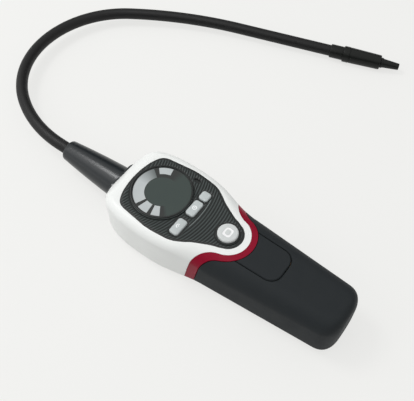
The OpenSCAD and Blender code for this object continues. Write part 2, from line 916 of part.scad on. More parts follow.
module pivot_bar(half, r) {
  translate([pivot_x, -half, pivot_z]) rotate([-90, 0, 0]) cylinder(h = 2 * half, r = r);
}
module latch_tab() {
  color("#2b2e30")
    difference() {
      union() {
        difference() {
          intersection() {
            body_shell();
            tab_prism(0);
          }
          band_zone(run_gap);
        }
        translate([arm_x, -tongue_half, pivot_z])
          cube([arm_len, 2 * tongue_half, grip_h - wall - pivot_z + 0.6]);
        translate([arm_x, -tongue_half, pivot_z]) cube([pivot_x - arm_x, 2 * tongue_half, 2]);
        pivot_bar(tongue_half, barrel_r, $fn = 24);
      }
      pivot_bar(ear_y, latch_pin_r + 0.3, $fn = 24);
    }
}
module latch_pin() {
  color("silver") pivot_bar(ear_y + ear_t, latch_pin_r);
}

// Battery tray: a spigot that the sleeve slides over, and a cross between the cells
cell_tip_x = bulkhead_x - contact_reach;
cell_tail_x = cell_tip_x - cell_len - 1;
rear_plate_x = bulkhead_x - tray_len;
spigot_t = 1.6;
spigot_front = power_x + 17;
module tray_section(x0, x1, inset) {
  intersection() {
    body_loft(inset);
    translate([x0, -80, -10]) cube([x1 - x0, 160, 80]);
  }
}
module tray_spigot() {
  fit = wall + run_gap;
  open_half = ear_y + ear_t + 11;
  difference() {
    tray_section(bulkhead_x, spigot_front, fit);
    tray_section(bulkhead_x + bulkhead_t, spigot_front + 1, fit + spigot_t);
    // Room for the tab's arm and for the head's ledge
    translate([bulkhead_x + bulkhead_t, -open_half, pivot_z - 4.6]) cube([60, 2 * open_half, 40]);
    translate([pivot_x + barrel_r, -60, pivot_z - 8]) cube([60, 120, 40]);
  }
}
module tray_ear(y) {
  translate([bulkhead_x + 1, y - ear_t / 2, pivot_z - 6])
    cube([pivot_x + barrel_r - bulkhead_x - 1.5, ear_t, barrel_r + 5.9]);
}
module battery_tray() {
  spine_h = cell_half * 1.8;
  shelf_w = cell_half * 1.76;
  end_w = cell_half * 1.68;
  color("#3a3d40")
    difference() {
      union() {
        tray_spigot();
        translate([rear_plate_x, -tray_t / 2, cell_z - cell_half * 0.94])
          cube([tray_len + 1, tray_t, spine_h]);
        translate([rear_plate_x, -shelf_w / 2, cell_z - tray_t / 2]) cube([tray_len + 1, shelf_w, tray_t]);
        translate([rear_plate_x, -end_w / 2, cell_z - end_w / 2]) cube([rear_plate_t, end_w, end_w]);
        for (s = [-1, 1]) tray_ear(s * (ear_y + ear_t / 2));
      }
      // Room for the tab above the bulkhead
      translate([bulkhead_x - 1, -14, pivot_z - 1.1]) cube([bulkhead_t + 1.5, 28, 20]);
      pivot_bar(ear_y + ear_t + 1, latch_pin_r + fit_gap / 2, $fn = 24);
    }
}
module cell(sy, sz, flip) {
  color("#b08d57")
    translate([(cell_tip_x + cell_tail_x) / 2, sy * cell_off, cell_z + sz * cell_off])
      rotate([0, flip ? -90 : 90, 0])
        translate([0, 0, -(cell_len + 1) / 2])
          rotate_extrude()
            polygon([
              [0, 0], [cell_d / 2 - 0.6, 0], [cell_d / 2, 0.6], [cell_d / 2, cell_len - 0.6],
              [cell_d / 2 - 0.6, cell_len], [2.7, cell_len], [2.7, cell_len + 1], [0, cell_len + 1]
            ]);
}
module cell_1() { cell(-1, 1, false); }
module cell_2() { cell(1, 1, true); }
module cell_3() { cell(-1, -1, true); }
module cell_4() { cell(1, -1, false); }

// A sprung contact plate at each end of every cell
contact_w = 9;
contact_t = 0.5;
module contact_set(x, reach) {
  for (sy = [-1, 1], sz = [-1, 1])
    translate([x, sy * cell_off, cell_z + sz * cell_off]) rotate([0, reach > 0 ? 90 : -90, 0])
      rotate_extrude()
        polygon([
          [0, 0], [contact_w / 2, 0], [contact_w / 2, contact_t], [3.6, contact_t],
          [3.2, abs(reach) * 0.4], [3.5, abs(reach) * 0.5], [2.8, abs(reach) * 0.7],
          [3, abs(reach) * 0.8], [2.3, abs(reach)], [0, abs(reach)]
        ]);
}
module front_contacts() {
  color("silver") contact_set(bulkhead_x - fit_gap, -contact_reach + 2 * fit_gap);
}
module rear_contacts() {
  color("silver")
    contact_set(rear_plate_x + rear_plate_t + fit_gap, contact_reach - 0.7 - 2 * fit_gap);
}

upper_housing();
lower_housing();
trim_band();
faceplate();
display_lens();
light_top();
light_arc();
light_low_left();
light_bottom();
display_module();
key_small();
key_middle();
key_lower();
power_button();
main_board();
key_switches();
buzzer();
neck_nut();
neck_boot();
gooseneck();
neck_ferrule();
socket_sleeve();
socket_insert();
insulator_ring();
contact_pins();
sensor_cell();
sensor_cap();
probe_nose();
battery_sleeve();
latch_tab();
latch_pin();
battery_tray();
cell_1();
cell_2();
cell_3();
cell_4();
front_contacts();
rear_contacts();
housing_screws();
board_screws();
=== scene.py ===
import math
import bmesh
import bpy
import numpy as np
from mathutils import Matrix, Vector
from mathutils.geometry import convex_hull_2d


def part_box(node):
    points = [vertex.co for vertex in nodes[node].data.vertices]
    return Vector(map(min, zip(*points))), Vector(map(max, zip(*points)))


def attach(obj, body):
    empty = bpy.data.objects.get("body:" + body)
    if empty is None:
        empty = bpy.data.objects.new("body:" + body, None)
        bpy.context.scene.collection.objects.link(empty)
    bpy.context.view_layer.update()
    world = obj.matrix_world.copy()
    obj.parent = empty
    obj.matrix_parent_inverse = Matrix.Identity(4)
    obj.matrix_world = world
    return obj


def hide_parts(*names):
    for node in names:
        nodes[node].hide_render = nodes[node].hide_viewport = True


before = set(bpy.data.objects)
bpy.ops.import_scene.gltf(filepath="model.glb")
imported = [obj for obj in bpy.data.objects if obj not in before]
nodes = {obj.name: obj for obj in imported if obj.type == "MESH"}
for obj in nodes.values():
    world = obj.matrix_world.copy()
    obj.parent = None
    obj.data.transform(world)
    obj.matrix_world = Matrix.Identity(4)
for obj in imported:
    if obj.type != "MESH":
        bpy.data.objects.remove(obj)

scene = bpy.context.scene
mm = 0.001
sharpFrom = 32  # degrees between faces from which an edge is drawn sharp


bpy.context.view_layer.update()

# camera: solved from the photograph, level, no lens shift
view = {"azimuth": 216.541, "elevation": 57.035, "distance": 451.504, "target": (-4.523, -31.039, 0.0),
        "lens": 56.49, "sensor": 36.0, "clip": (0.01, 20.0)}
az = math.radians(view["azimuth"])
el = math.radians(view["elevation"])
back = Vector((math.sin(az) * math.cos(el), -math.cos(az) * math.cos(el), math.sin(el)))
camData = bpy.data.cameras.new("photoCamera")
camData.sensor_width = view["sensor"]
camData.lens = view["lens"]
camData.clip_start, camData.clip_end = view["clip"]
cam = bpy.data.objects.new("photoCamera", camData)
scene.collection.objects.link(cam)
cam.location = (Vector(view["target"]) + back * view["distance"]) * mm
cam.rotation_euler = (-back).to_track_quat("-Z", "Y").to_euler()
scene.camera = cam
print("stage: camera")


# mesh helpers, all sizes in millimetres
def meshObject(name, points, faces):
    mesh = bpy.data.meshes.new(name)
    mesh.from_pydata([Vector(p) * mm for p in points], [], faces)
    bm = bmesh.new()
    bm.from_mesh(mesh)
    bmesh.ops.recalc_face_normals(bm, faces=bm.faces)
    bm.to_mesh(mesh)
    bm.free()
    obj = bpy.data.objects.new(name, mesh)
    scene.collection.objects.link(obj)
    return obj


def loft(name, rings):
    n = len(rings[0])
    faces = []
    for i in range(len(rings) - 1):
        for j in range(n):
            k = (j + 1) % n
            faces.append((i * n + j, i * n + k, (i + 1) * n + k, (i + 1) * n + j))
    faces.append(tuple(range(n)))
    faces.append(tuple(range((len(rings) - 1) * n, len(rings) * n)))
    return meshObject(name, [p for ring in rings for p in ring], faces)


def prism(name, outline, low, high):
    return loft(name, [[(x, y, low) for x, y in outline], [(x, y, high) for x, y in outline]])


def boxSolid(name, low, high):
    outline = [(low[0], low[1]), (high[0], low[1]), (high[0], high[1]), (low[0], high[1])]
    return prism(name, outline, low[2], high[2])


def arcPoints(cx, cy, r, a0, a1, n):
    return [(cx + r * math.cos(math.radians(a0 + (a1 - a0) * i / n)),
             cy + r * math.sin(math.radians(a0 + (a1 - a0) * i / n))) for i in range(n + 1)]


def rounded(corners, steps=5):
    # a closed outline whose corners (x, y, radius) are turned into arcs
    out = []
    for i, (x, y, r) in enumerate(corners):
        p = Vector((x, y))
        if r <= 0:
            out.append((x, y))
            continue
        a = (Vector(corners[i - 1][:2]) - p).normalized()
        b = (Vector(corners[(i + 1) % len(corners)][:2]) - p).normalized()
        half = a.angle(b) / 2
        reach = r / math.tan(half)
        mid = p + (a + b).normalized() * r / math.sin(half)
        start = p + a * reach - mid
        sweep = start.angle_signed(p + b * reach - mid)
        for k in range(steps + 1):
            turned = Matrix.Rotation(-sweep * k / steps, 2) @ start
            out.append(tuple(mid + turned))
    return out


def lathe(name, outline, place=None, count=96):
    # outline of (radius, height), closed; points on the axis are shared
    points, faces, rings = [], [], []
    for r, h in outline:
        if r == 0:
            points.append((0, 0, h))
            rings.append([len(points) - 1] * count)
        else:
            start = len(points)
            for j in range(count):
                a = 2 * math.pi * j / count
                points.append((r * math.cos(a), r * math.sin(a), h))
            rings.append(list(range(start, start + count)))
    for i in range(len(rings)):
        lower, upper = rings[i], rings[(i + 1) % len(rings)]
        for j in range(count):
            k = (j + 1) % count
            loop = []
            for v in (lower[j], lower[k], upper[k], upper[j]):
                if v not in loop:
                    loop.append(v)
            if len(loop) > 2:
                faces.append(tuple(loop))
    if place is not None:
        points = [place @ Vector(p) for p in points]
    return meshObject(name, points, faces)


def combine(base, tool, operation, keepTool=False):
    mod = base.modifiers.new("combine", "BOOLEAN")
    mod.operation = operation
    mod.object = tool
    mod.solver = "MANIFOLD"
    made = bpy.data.meshes.new_from_object(base.evaluated_get(bpy.context.evaluated_depsgraph_get()))
    base.modifiers.clear()
    base.data = made
    if not keepTool:
        bpy.data.objects.remove(tool)
    return base


def cut(base, tool):
    return combine(base, tool, "DIFFERENCE")


def join(base, tool):
    return combine(base, tool, "UNION")


def keepIn(base, tool, keepTool=False):
    return combine(base, tool, "INTERSECT", keepTool)


def copyOf(obj, name):
    twin = bpy.data.objects.new(name, obj.data.copy())
    scene.collection.objects.link(twin)
    return twin


def softEdges(obj, degrees):
    obj.data.shade_smooth()
    obj.data.set_sharp_from_angle(angle=math.radians(degrees))


def boxMm(node):
    low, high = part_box(node)
    return low / mm, high / mm


def standFor(obj, material, body, names, degrees=sharpFrom):
    obj.data.materials.clear()
    obj.data.materials.append(material)
    softEdges(obj, degrees)
    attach(obj, body)
    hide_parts(*names)


# materials
def linear(hexColour):
    out = []
    for i in (1, 3, 5):
        c = int(hexColour[i:i + 2], 16) / 255.0
        out.append(c / 12.92 if c <= 0.04045 else ((c + 0.055) / 1.055) ** 2.4)
    return (out[0], out[1], out[2], 1.0)


def addNode(tree, kind, settings, links):
    node = tree.nodes.new("ShaderNode" + kind)
    for key, value in settings.items():
        if key in node.inputs.keys():
            node.inputs[key].default_value = value
        else:
            setattr(node, key, value)
    for key, source in links.items():
        tree.links.new(source, node.inputs[key])
    return node


def newMaterial(name):
    mat = bpy.data.materials.new(name)
    mat.use_nodes = True
    tree = mat.node_tree
    tree.nodes.clear()
    return mat, tree, addNode(tree, "OutputMaterial", {}, {})


def perMetre(sizeMm):
    return 1.0 / (sizeMm * mm)  # texture scale that gives features of this size


# how every finish reads its noise, and a Mix node's colour sockets, by number since their names repeat
noise = {"blotchDetail": 3.0, "grainDetail": 2.0, "low": 0.3, "high": 0.7, "relief": 0.4}
mixUnder, mixOver, mixOut = 6, 7, 2


def grained(name, colours, rough, grainMm, grainHigh, blotchMm, extra):
    # a base colour that drifts over blotchMm, roughness that drifts with it, and a fine grain as relief
    mat, tree, out = newMaterial(name)
    coords = addNode(tree, "TexCoord", {}, {})
    blotch = addNode(tree, "TexNoise",
                     {"Scale": perMetre(blotchMm), "Detail": noise["blotchDetail"]},
                     {"Vector": coords.outputs["Object"]})
    grain = addNode(tree, "TexNoise",
                    {"Scale": perMetre(grainMm), "Detail": noise["grainDetail"]},
                    {"Vector": coords.outputs["Object"]})
    colour = addNode(tree, "Mix", {"data_type": "RGBA"}, {"Factor": blotch.outputs["Fac"]})
    colour.inputs[mixUnder].default_value = linear(colours[0])
    colour.inputs[mixOver].default_value = linear(colours[1])
    gloss = addNode(tree, "MapRange",
                    {"From Min": noise["low"], "From Max": noise["high"],
                     "To Min": rough[0], "To Max": rough[1]}, {"Value": blotch.outputs["Fac"]})
    relief = addNode(tree, "Bump", {"Strength": noise["relief"], "Distance": grainHigh * mm},
                     {"Height": grain.outputs["Fac"]})
    shader = addNode(tree, "BsdfPrincipled", {"name": "skin", **extra},
                     {"Base Color": colour.outputs[mixOut], "Roughness": gloss.outputs["Result"],
                      "Normal": relief.outputs["Normal"]})
    tree.links.new(shader.outputs[0], out.inputs["Surface"])
    return mat


# injection-moulded ABS: even white with a soft gloss and a trace of flow ripple
whiteAbs = grained("injectionMouldedGlossAbs", ("#eff1ef", "#ebedeb"), rough=(0.3, 0.38), grainMm=1.6,
                   grainHigh=0.01, blotchMm=14.0, extra={"IOR": 1.53, "Specular IOR Level": 0.25})
# the same resin coloured through: deep crimson, a little duller
redAbs = grained("injectionMouldedRedAbs", ("#8f0e2b", "#850c26"), rough=(0.36, 0.44), grainMm=1.6,
                 grainHigh=0.01, blotchMm=10.0, extra={"IOR": 1.53, "Specular IOR Level": 0.1})
# soft-touch lacquer over ABS: near black, broad dull highlight; grain drawn coarser than the real 0.1 mm
gripBlack = grained("softTouchLacqueredGrip", ("#272b2d", "#2c2f31"), rough=(0.52, 0.6), grainMm=0.7,
                    grainHigh=0.03, blotchMm=9.0, extra={"IOR": 1.5, "Specular IOR Level": 0.09})
# spark-eroded mould face on polycarbonate: charcoal, dry sheen; grit drawn coarser than the real 0.05 mm
plateBlack = grained("sparkErodedPolycarbonate", ("#0d1211", "#111615"), rough=(0.38, 0.48), grainMm=0.5,
                     grainHigh=0.03, blotchMm=6.0, extra={"IOR": 1.58, "Specular IOR Level": 0.35})
# compression-moulded silicone: pale grey, slightly cloudy, dull
silicone = {"IOR": 1.41, "Subsurface Weight": 0.15, "Subsurface Radius": (0.0008, 0.0008, 0.0008)}
keyPale = grained("mouldedSiliconeKey", ("#b9c0c0", "#c2c8c8"), rough=(0.42, 0.5), grainMm=0.8,
                  grainHigh=0.02, blotchMm=3.0, extra=silicone)
powerPale = grained("mouldedSiliconePowerKey", ("#ccd0cf", "#d4d7d6"), rough=(0.4, 0.48), grainMm=0.8,
                    grainHigh=0.02, blotchMm=3.0, extra=silicone)
# moulded rubber with a wiped surface: black with a long soft sheen
bootRubber = grained("wipedMouldedRubber", ("#070f14", "#0b1419"), rough=(0.28, 0.31), grainMm=1.4,
                     grainHigh=0.003, blotchMm=8.0, extra={"IOR": 1.52})
# heat-shrunk polyolefin: black, waxy, slightly uneven where it grips the arm
neckSleeve = grained("heatShrunkPolyolefin", ("#101011", "#161617"), rough=(0.42, 0.55), grainMm=1.1,
                     grainHigh=0.05, blotchMm=7.0, extra={"IOR": 1.5, "Specular IOR Level": 0.28})
# moulded nylon: black with a satin skin
tipNylon = grained("mouldedSatinNylon", ("#0a0d0b", "#0e110f"), rough=(0.34, 0.42), grainMm=0.8,
                   grainHigh=0.02, blotchMm=5.0, extra={"IOR": 1.53, "Specular IOR Level": 0.25})
# moulded nylon of the inner pieces: dark grey, dry and dull
darkNylon = grained("mouldedMattNylon", ("#1c1d1f", "#212225"), rough=(0.5, 0.6), grainMm=0.8,
                    grainHigh=0.03, blotchMm=5.0, extra={"IOR": 1.53})
# solder mask over copper: deep green with a varnish gloss
boardGreen = grained("solderMaskedBoard", ("#123d28", "#17482f"), rough=(0.3, 0.4), grainMm=1.2,
                     grainHigh=0.02, blotchMm=4.0, extra={"IOR": 1.52})
# zinc plate: bright, cloudy spangle
zincSteel = grained("zincPlatedSteel", ("#b4b7ba", "#c2c4c6"), rough=(0.28, 0.38), grainMm=0.9,
                    grainHigh=0.01, blotchMm=2.5, extra={"Metallic": 1.0})
# chrome over turned brass: mirror with faint wiping marks, drawn coarser than real ones
chromePlate = grained("chromePlatedTube", ("#d3d5d8", "#dcdee0"), rough=(0.06, 0.12), grainMm=0.6,
                      grainHigh=0.004, blotchMm=4.0, extra={"Metallic": 1.0})
# gold flash on turned brass pins: warm and bright
goldBrass = grained("goldFlashedBrass", ("#d8b25a", "#e0bd6a"), rough=(0.18, 0.26), grainMm=0.5,
                    grainHigh=0.004, blotchMm=2.0, extra={"Metallic": 1.0})
# moulded insulator ring: dark blue and satin
blueRing = grained("mouldedBlueInsulator", ("#23447e", "#2a4f8e"), rough=(0.36, 0.44), grainMm=0.8,
                   grainHigh=0.02, blotchMm=3.0, extra={"IOR": 1.5})
# deep-drawn aluminium can: soft pale grey metal
sensorCan = grained("drawnAluminiumCan", ("#bfc2c6", "#c9ccd0"), rough=(0.3, 0.42), grainMm=0.4,
                    grainHigh=0.006, blotchMm=3.0, extra={"Metallic": 1.0})
# printed film shrunk over a steel can: coppery with a soft gloss
cellFilm = grained("printedFilmOverSteelCan", ("#8f6a2d", "#a07a38"), rough=(0.29, 0.37), grainMm=1.0,
                   grainHigh=0.01, blotchMm=6.0, extra={"Metallic": 0.6})
print("stage: materials")

# body form, the same lines as the solids but drawn finer
form = {"wall": 2.0, "gripFlare": 13.7, "tailWide": 35.7, "headWide": 62.0, "tailRound": 10.0,
        "tailEdge": 5.0, "tailShoulder": 10.0, "gripShoulder": 14.0, "headShoulder": 6.0,
        "shoulderLead": 8.0, "shoulderRun": 30.0, "foot": 8.0, "leastRound": 0.6, "leastFlat": 0.3,
        "topShare": 0.6, "footShare": 0.39, "seam": 11.0, "neckAhead": 3.0, "headPower": 3.0,
        "headPast": 1.5, "frontDrop": 10.3, "frontRise": 2.6, "riseLen": 15.0, "bendBack": 24.0,
        "fit": 0.1, "slide": 0.35, "outerSteps": 14, "innerSteps": 8, "gripSteps": 8}
tailX = boxMm("battery_sleeve")[0].x
faceZ = boxMm("battery_sleeve")[1].z
frontX = boxMm("upper_housing")[1].x
plateLow, plateHigh = boxMm("faceplate")
powerLow, powerHigh = boxMm("power_button")
lensLow, lensHigh = boxMm("display_lens")
powerX = (powerLow.x + powerHigh.x) / 2
dialX = (lensLow.x + lensHigh.x) / 2
plateFrontX = plateHigh.x
gripLen = powerX - tailX
neckInX = powerX + form["neckAhead"]
wall, fit, slide = form["wall"], form["fit"], form["slide"]
halfFit = fit / 2
past = 10.0  # how far a cutting block runs past what it cuts


def mix(a, b, t):
    return a + (b - a) * t


def smooth(t):
    u = min(1.0, max(0.0, t))
    return u * u * (3.0 - 2.0 * u)


def corner(r, d):
    return r - math.sqrt(max(0.0, r * r - d * d))


def sideAt(x):
    if x > 0:
        t = min(1.0, x / (frontX + form["headPast"]))
        return form["headWide"] / 2 * (1 - t ** form["headPower"]) ** (1 / form["headPower"])
    grip = mix(form["tailWide"], form["tailWide"] + form["gripFlare"], (x - tailX) / gripLen) / 2
    return mix(grip, form["headWide"] / 2, smooth((x - neckInX) / -neckInX))


def sectionAt(x, inset, n):
    edge = corner(form["tailEdge"] - inset, max(0.0, tailX + form["tailEdge"] - x))
    half = sideAt(x) - inset - corner(form["tailRound"] - inset, max(0.0, tailX + form["tailRound"] - x))
    dip = form["frontDrop"] * (max(0.0, x - plateFrontX) / (frontX - plateFrontX)) ** 2
    rise = form["frontRise"] * (max(0.0, x - frontX + form["riseLen"]) / form["riseLen"]) ** 2
    high = faceZ - dip - inset - edge
    low = rise + inset + edge
    into = x - neckInX + form["shoulderLead"]
    if into > 0:
        shoulder = mix(form["gripShoulder"], form["headShoulder"], smooth(into / form["shoulderRun"]))
    else:
        shoulder = mix(form["tailShoulder"], form["gripShoulder"], (x - tailX) / gripLen)
    widest = half - form["leastFlat"]
    top = min(max(form["leastRound"], shoulder - inset), widest, (high - low) * form["topShare"])
    foot = min(max(form["leastRound"], form["foot"] - inset), widest, (high - low) * form["footShare"])
    ring = arcPoints(half - top, high - top, top, 0, 90, n)
    ring += arcPoints(-half + top, high - top, top, 90, 180, n)
    ring += arcPoints(-half + foot, low + foot, foot, 180, 270, n)
    ring += arcPoints(half - foot, low + foot, foot, 270, 360, n)
    return [(x, y, z) for y, z in ring]


def bodyLoft(name, inset, n):
    # sections crowd where the form bends: at the tail, round the power button and at the front
    startX = tailX + form["tailRound"]
    bendX = powerX - form["bendBack"]
    quarter = [math.radians(90 * i / n) for i in range(n + 1)]
    halfQuarter = [math.radians(90 * i / (2 * n)) for i in range(1, 2 * n + 1)]
    xs = [startX - (form["tailRound"] - inset) * math.cos(a) for a in quarter]
    xs += [mix(startX, bendX, i / form["gripSteps"]) for i in range(1, form["gripSteps"])]
    xs += [mix(bendX, 0, i / (3 * n)) for i in range(3 * n + 1)]
    xs += [mix(0, frontX - inset, math.sin(a)) for a in halfQuarter]
    return loft(name, [sectionAt(x, inset, n) for x in xs])


# the S-curve that the red band follows, and the reach of the blocks that part the body along it
trim = {"tongue": 14.3, "band": 3.9, "side": 8.5, "sideBand": 6.1, "fillet": 16.0, "bandFillet": 12.0,
        "lean": 11.0, "low": 16.0, "lap": 0.01, "steps": 24}
far = {"long": 200.0, "half": 80.0, "high": 80.0, "drop": 60.0, "slabHalf": 90.0, "slabHigh": 90.0}
leanOver = (Matrix.Translation((powerX, 0, faceZ)) @ Matrix.Rotation(math.radians(-trim["lean"]), 4, "Y")
            @ Matrix.Translation((-powerX, 0, -far["drop"])))


def tongueOutline(r, lineX, fillet):
    cx = lineX - fillet
    cy = math.sqrt((r + fillet) ** 2 - (cx - powerX) ** 2)
    lean = math.degrees(math.atan2(cy, powerX - cx))
    half = arcPoints(cx, cy, fillet, 0, -lean, trim["steps"])
    half += arcPoints(powerX, 0, r, 180 - lean, 180, trim["steps"])[1:]
    near = [(lineX + far["long"], far["half"]), (lineX, far["half"])] + half
    return near + [(x, -y) for x, y in reversed(near[:-1])], cx, cy


def leaning(obj):
    toMetres = Matrix.Diagonal((mm, mm, mm, 1))
    toMm = Matrix.Diagonal((1 / mm, 1 / mm, 1 / mm, 1))
    obj.data.transform(toMetres @ leanOver @ toMm)
    return obj


def slab(name, low, high):
    return boxSolid(name, (-far["long"], -far["slabHalf"], low), (2 * far["long"], far["slabHalf"], high))


def zone(name, r, lineX, fillet):
    # everything ahead of the S-curve: the tongue's outline above, a straight leaning cut below
    outline, cx, cy = tongueOutline(r, lineX, fillet)
    side = sideAt(lineX)
    lowX = lineX if side >= cy else cx + math.sqrt(max(0.0, fillet ** 2 - (cy - side) ** 2))
    ahead = leaning(prism(name, outline, 0, far["high"]))
    keepIn(ahead, slab("high", trim["low"], far["slabHigh"]))
    below = leaning(boxSolid("low", (lowX, -far["half"], 0), (lowX + far["long"], far["half"], far["high"])))
    keepIn(below, slab("under", -past, trim["low"] + trim["lap"]))
    return join(ahead, below)


def tongueZone(name, grow):
    return zone(name, trim["tongue"] + grow, powerX + trim["side"] - grow, trim["fillet"])


def bandZone(name, grow):
    return zone(name, trim["tongue"] + trim["band"] + grow, powerX + trim["side"] - trim["sideBand"] - grow,
                trim["bandFillet"])


def nodeOutline(node, level):
    # the outer edge of a node's flat underside, read from the frame
    flatWithin, digits = 0.01, 3
    mesh = nodes[node].data
    mesh.calc_loop_triangles()
    seen = {}
    for tri in mesh.loop_triangles:
        pts = [mesh.vertices[i].co / mm for i in tri.vertices]
        if max(abs(p.z - level) for p in pts) > flatWithin:
            continue
        keys = [(round(p.x, digits), round(p.y, digits)) for p in pts]
        for a, b in ((0, 1), (1, 2), (2, 0)):
            edge = frozenset((keys[a], keys[b]))
            seen[edge] = seen.get(edge, 0) + 1
    links = {}
    for edge, count in seen.items():
        if count == 1 and len(edge) == 2:
            a, b = tuple(edge)
            links.setdefault(a, []).append(b)
            links.setdefault(b, []).append(a)
    start = min(links)
    path, last, here = [start], None, start
    while True:
        step = [p for p in links[here] if p != last]
        last, here = here, step[0]
        if here == start:
            break
        path.append(here)
    return path


def grown(outline, by):
    # moves a closed outline out by a small distance
    pts = [Vector(p) for p in outline]
    area = sum(a.x * b.y - b.x * a.y for a, b in zip(pts, pts[1:] + pts[:1]))
    turn = 1 if area > 0 else -1
    out = []
    for i, p in enumerate(pts):
        along = (pts[(i + 1) % len(pts)] - pts[i - 1]).normalized()
        out.append((p.x + turn * along.y * by, p.y - turn * along.x * by))
    return out


def eased(outline, count, parts=8):
    # a smooth closed curve through the outline's points, evenly divided
    pts = [Vector(p) for p in outline]
    n = len(pts)
    fine = []
    for i in range(n):
        a, b, c, d = pts[i - 1], pts[i], pts[(i + 1) % n], pts[(i + 2) % n]
        for k in range(parts):
            t = k / parts
            fine.append(0.5 * ((2 * b) + (c - a) * t + (2 * a - 5 * b + 4 * c - d) * t * t
                               + (3 * b - a - 3 * c + d) * t ** 3))
    lengths = [0.0]
    for a, b in zip(fine, fine[1:] + fine[:1]):
        lengths.append(lengths[-1] + (b - a).length)
    wanted = np.linspace(0, lengths[-1], count, endpoint=False)
    xs = np.interp(wanted, lengths, [p.x for p in fine] + [fine[0].x])
    ys = np.interp(wanted, lengths, [p.y for p in fine] + [fine[0].y])
    return list(zip(xs.tolist(), ys.tolist()))


plate = {"thick": 2.0, "ledge": 2.5, "ledgeThick": 2.3, "ledgeOut": 1.6, "points": 260}
plateZ = faceZ - plate["thick"]
plateEdge = eased(nodeOutline("faceplate", plateZ), plate["points"])
print("stage: plate outline", len(plateEdge))

shell = cut(bodyLoft("shell", 0, form["outerSteps"]), bodyLoft("inside", wall, form["innerSteps"]))
innerLoft = bodyLoft("innerLoft", wall / 2, form["innerSteps"])
bosses = {"radius": 3.6, "sunk": 0.2, "screw": 1.2, "head": 2.3, "seat": 4.0, "topDrop": 3.1, "boreEnd": 2.0,
          "fromFront": 6.3, "fromPower": 21.0}
posts = {"radius": 2.3, "boardDrop": 10.3, "bore": 8.0, "fromDial": 16.0, "dialY": 13.8, "fromPower": 21.3,
         "powerY": 8.4}
neck = {"axisZ": 14.3, "wide": 8.7, "holeIn": 12.0, "holeLong": 20.0, "rootIn": 9.0, "lead": 9.4,
        "bends": ((94.2, 33.3), (71.4, 49.1), (75.5, 62.5), (310.0, 17.1)),  # radius, degrees
        "bendStep": 1.6, "leastSteps": 8, "run": 76.6, "tipIn": 2.2}
axisTurn = Matrix.Rotation(math.radians(90), 4, "Y")  # lays an upright turned piece forwards
neckBore = neck["wide"] / 2 + fit
boardZ = faceZ - posts["boardDrop"]
bossTop = boardZ - bosses["topDrop"]
bossPlaces = []
for bossX in (plateFrontX - bosses["fromFront"], powerX + bosses["fromPower"]):
    bossY = sideAt(bossX) - wall - bosses["radius"] + bosses["sunk"]
    bossPlaces += [(bossX, -bossY), (bossX, bossY)]
postPlaces = []
for postX, postY in ((dialX + posts["fromDial"], posts["dialY"]),
                     (powerX + posts["fromPower"], posts["powerY"])):
    postPlaces += [(postX, postY), (postX, -postY)]


def disc(x, y, r, count=32):
    return arcPoints(x, y, r, 0, 360 * (count - 1) / count, count - 1)


def rod(name, r, low, high, place, count=48):
    return lathe(name, [(0, low), (r, low), (r, high), (0, high)], place, count)


def drill(obj, x, y, r, low, high, count=20):
    cut(obj, prism("bore", disc(x, y, r, count), low, high))


def drillNeck(obj):
    place = Matrix.Translation((frontX - neck["holeIn"], 0, neck["axisZ"])) @ axisTurn
    cut(obj, rod("neckHole", neckBore, 0, neck["holeLong"], place))


def addBosses(obj, low, high):
    for x, y in bossPlaces:
        post = prism("boss", disc(x, y, bosses["radius"]), low, high)
        join(obj, keepIn(post, innerLoft, keepTool=True))


upper = keepIn(copyOf(shell, "upperHousing"), tongueZone("tongueUp", -halfFit))
keepIn(upper, slab("above", form["seam"] + halfFit, far["slabHigh"]))
ledge = prism("ledge", grown(plateEdge, plate["ledgeOut"]), plateZ - plate["ledgeThick"], plateZ)
join(upper, keepIn(ledge, innerLoft, keepTool=True))
addBosses(upper, form["seam"] + halfFit, bossTop)
cut(upper, prism("pocket", grown(plateEdge, fit), plateZ, plateZ + past))
cut(upper, prism("well", grown(plateEdge, -plate["ledge"]), plateZ - past, plateZ + past))
for bossX, bossY in bossPlaces:
    drill(upper, bossX, bossY, bosses["screw"] + fit, -past, bossTop - bosses["boreEnd"])
drillNeck(upper)
standFor(upper, whiteAbs, "housing", ["upper_housing"])

lower = keepIn(copyOf(shell, "lowerHousing"), tongueZone("tongueLow", -halfFit))
keepIn(lower, slab("below", -past, form["seam"] - halfFit))
addBosses(lower, wall / 2, form["seam"] - halfFit)
for postX, postY in postPlaces:
    post = prism("post", disc(postX, postY, posts["radius"]), wall / 2, boardZ - fit)
    join(lower, post)
    drill(lower, postX, postY, bosses["screw"], boardZ - posts["bore"], boardZ + past)
for bossX, bossY in bossPlaces:
    drill(lower, bossX, bossY, bosses["screw"] + fit, -past, form["seam"] + past)
    drill(lower, bossX, bossY, bosses["head"] + fit, -past, bosses["seat"], count=32)
drillNeck(lower)
standFor(lower, whiteAbs, "housing", ["lower_housing"])

band = cut(bandZone("band", -halfFit), tongueZone("tongueBand", halfFit))
band = keepIn(copyOf(shell, "trimBand"), band)
standFor(band, redAbs, "housing", ["trim_band"])

latch = {"front": 12.1, "frontBack": 9.0, "end": 11.5, "reach": 41.6, "round": 7.5, "gap": 0.4,
         "groove": 0.6, "pin": 1.2, "play": 0.3, "earY": 8.6, "pivotAhead": 2.0, "pivotDrop": 3.0,
         "barrelWall": 1.1, "armBack": 7.8, "armLen": 6.2, "armIn": 1.0, "armThick": 2.0, "armLift": 0.01,
         "blend": 0.6}


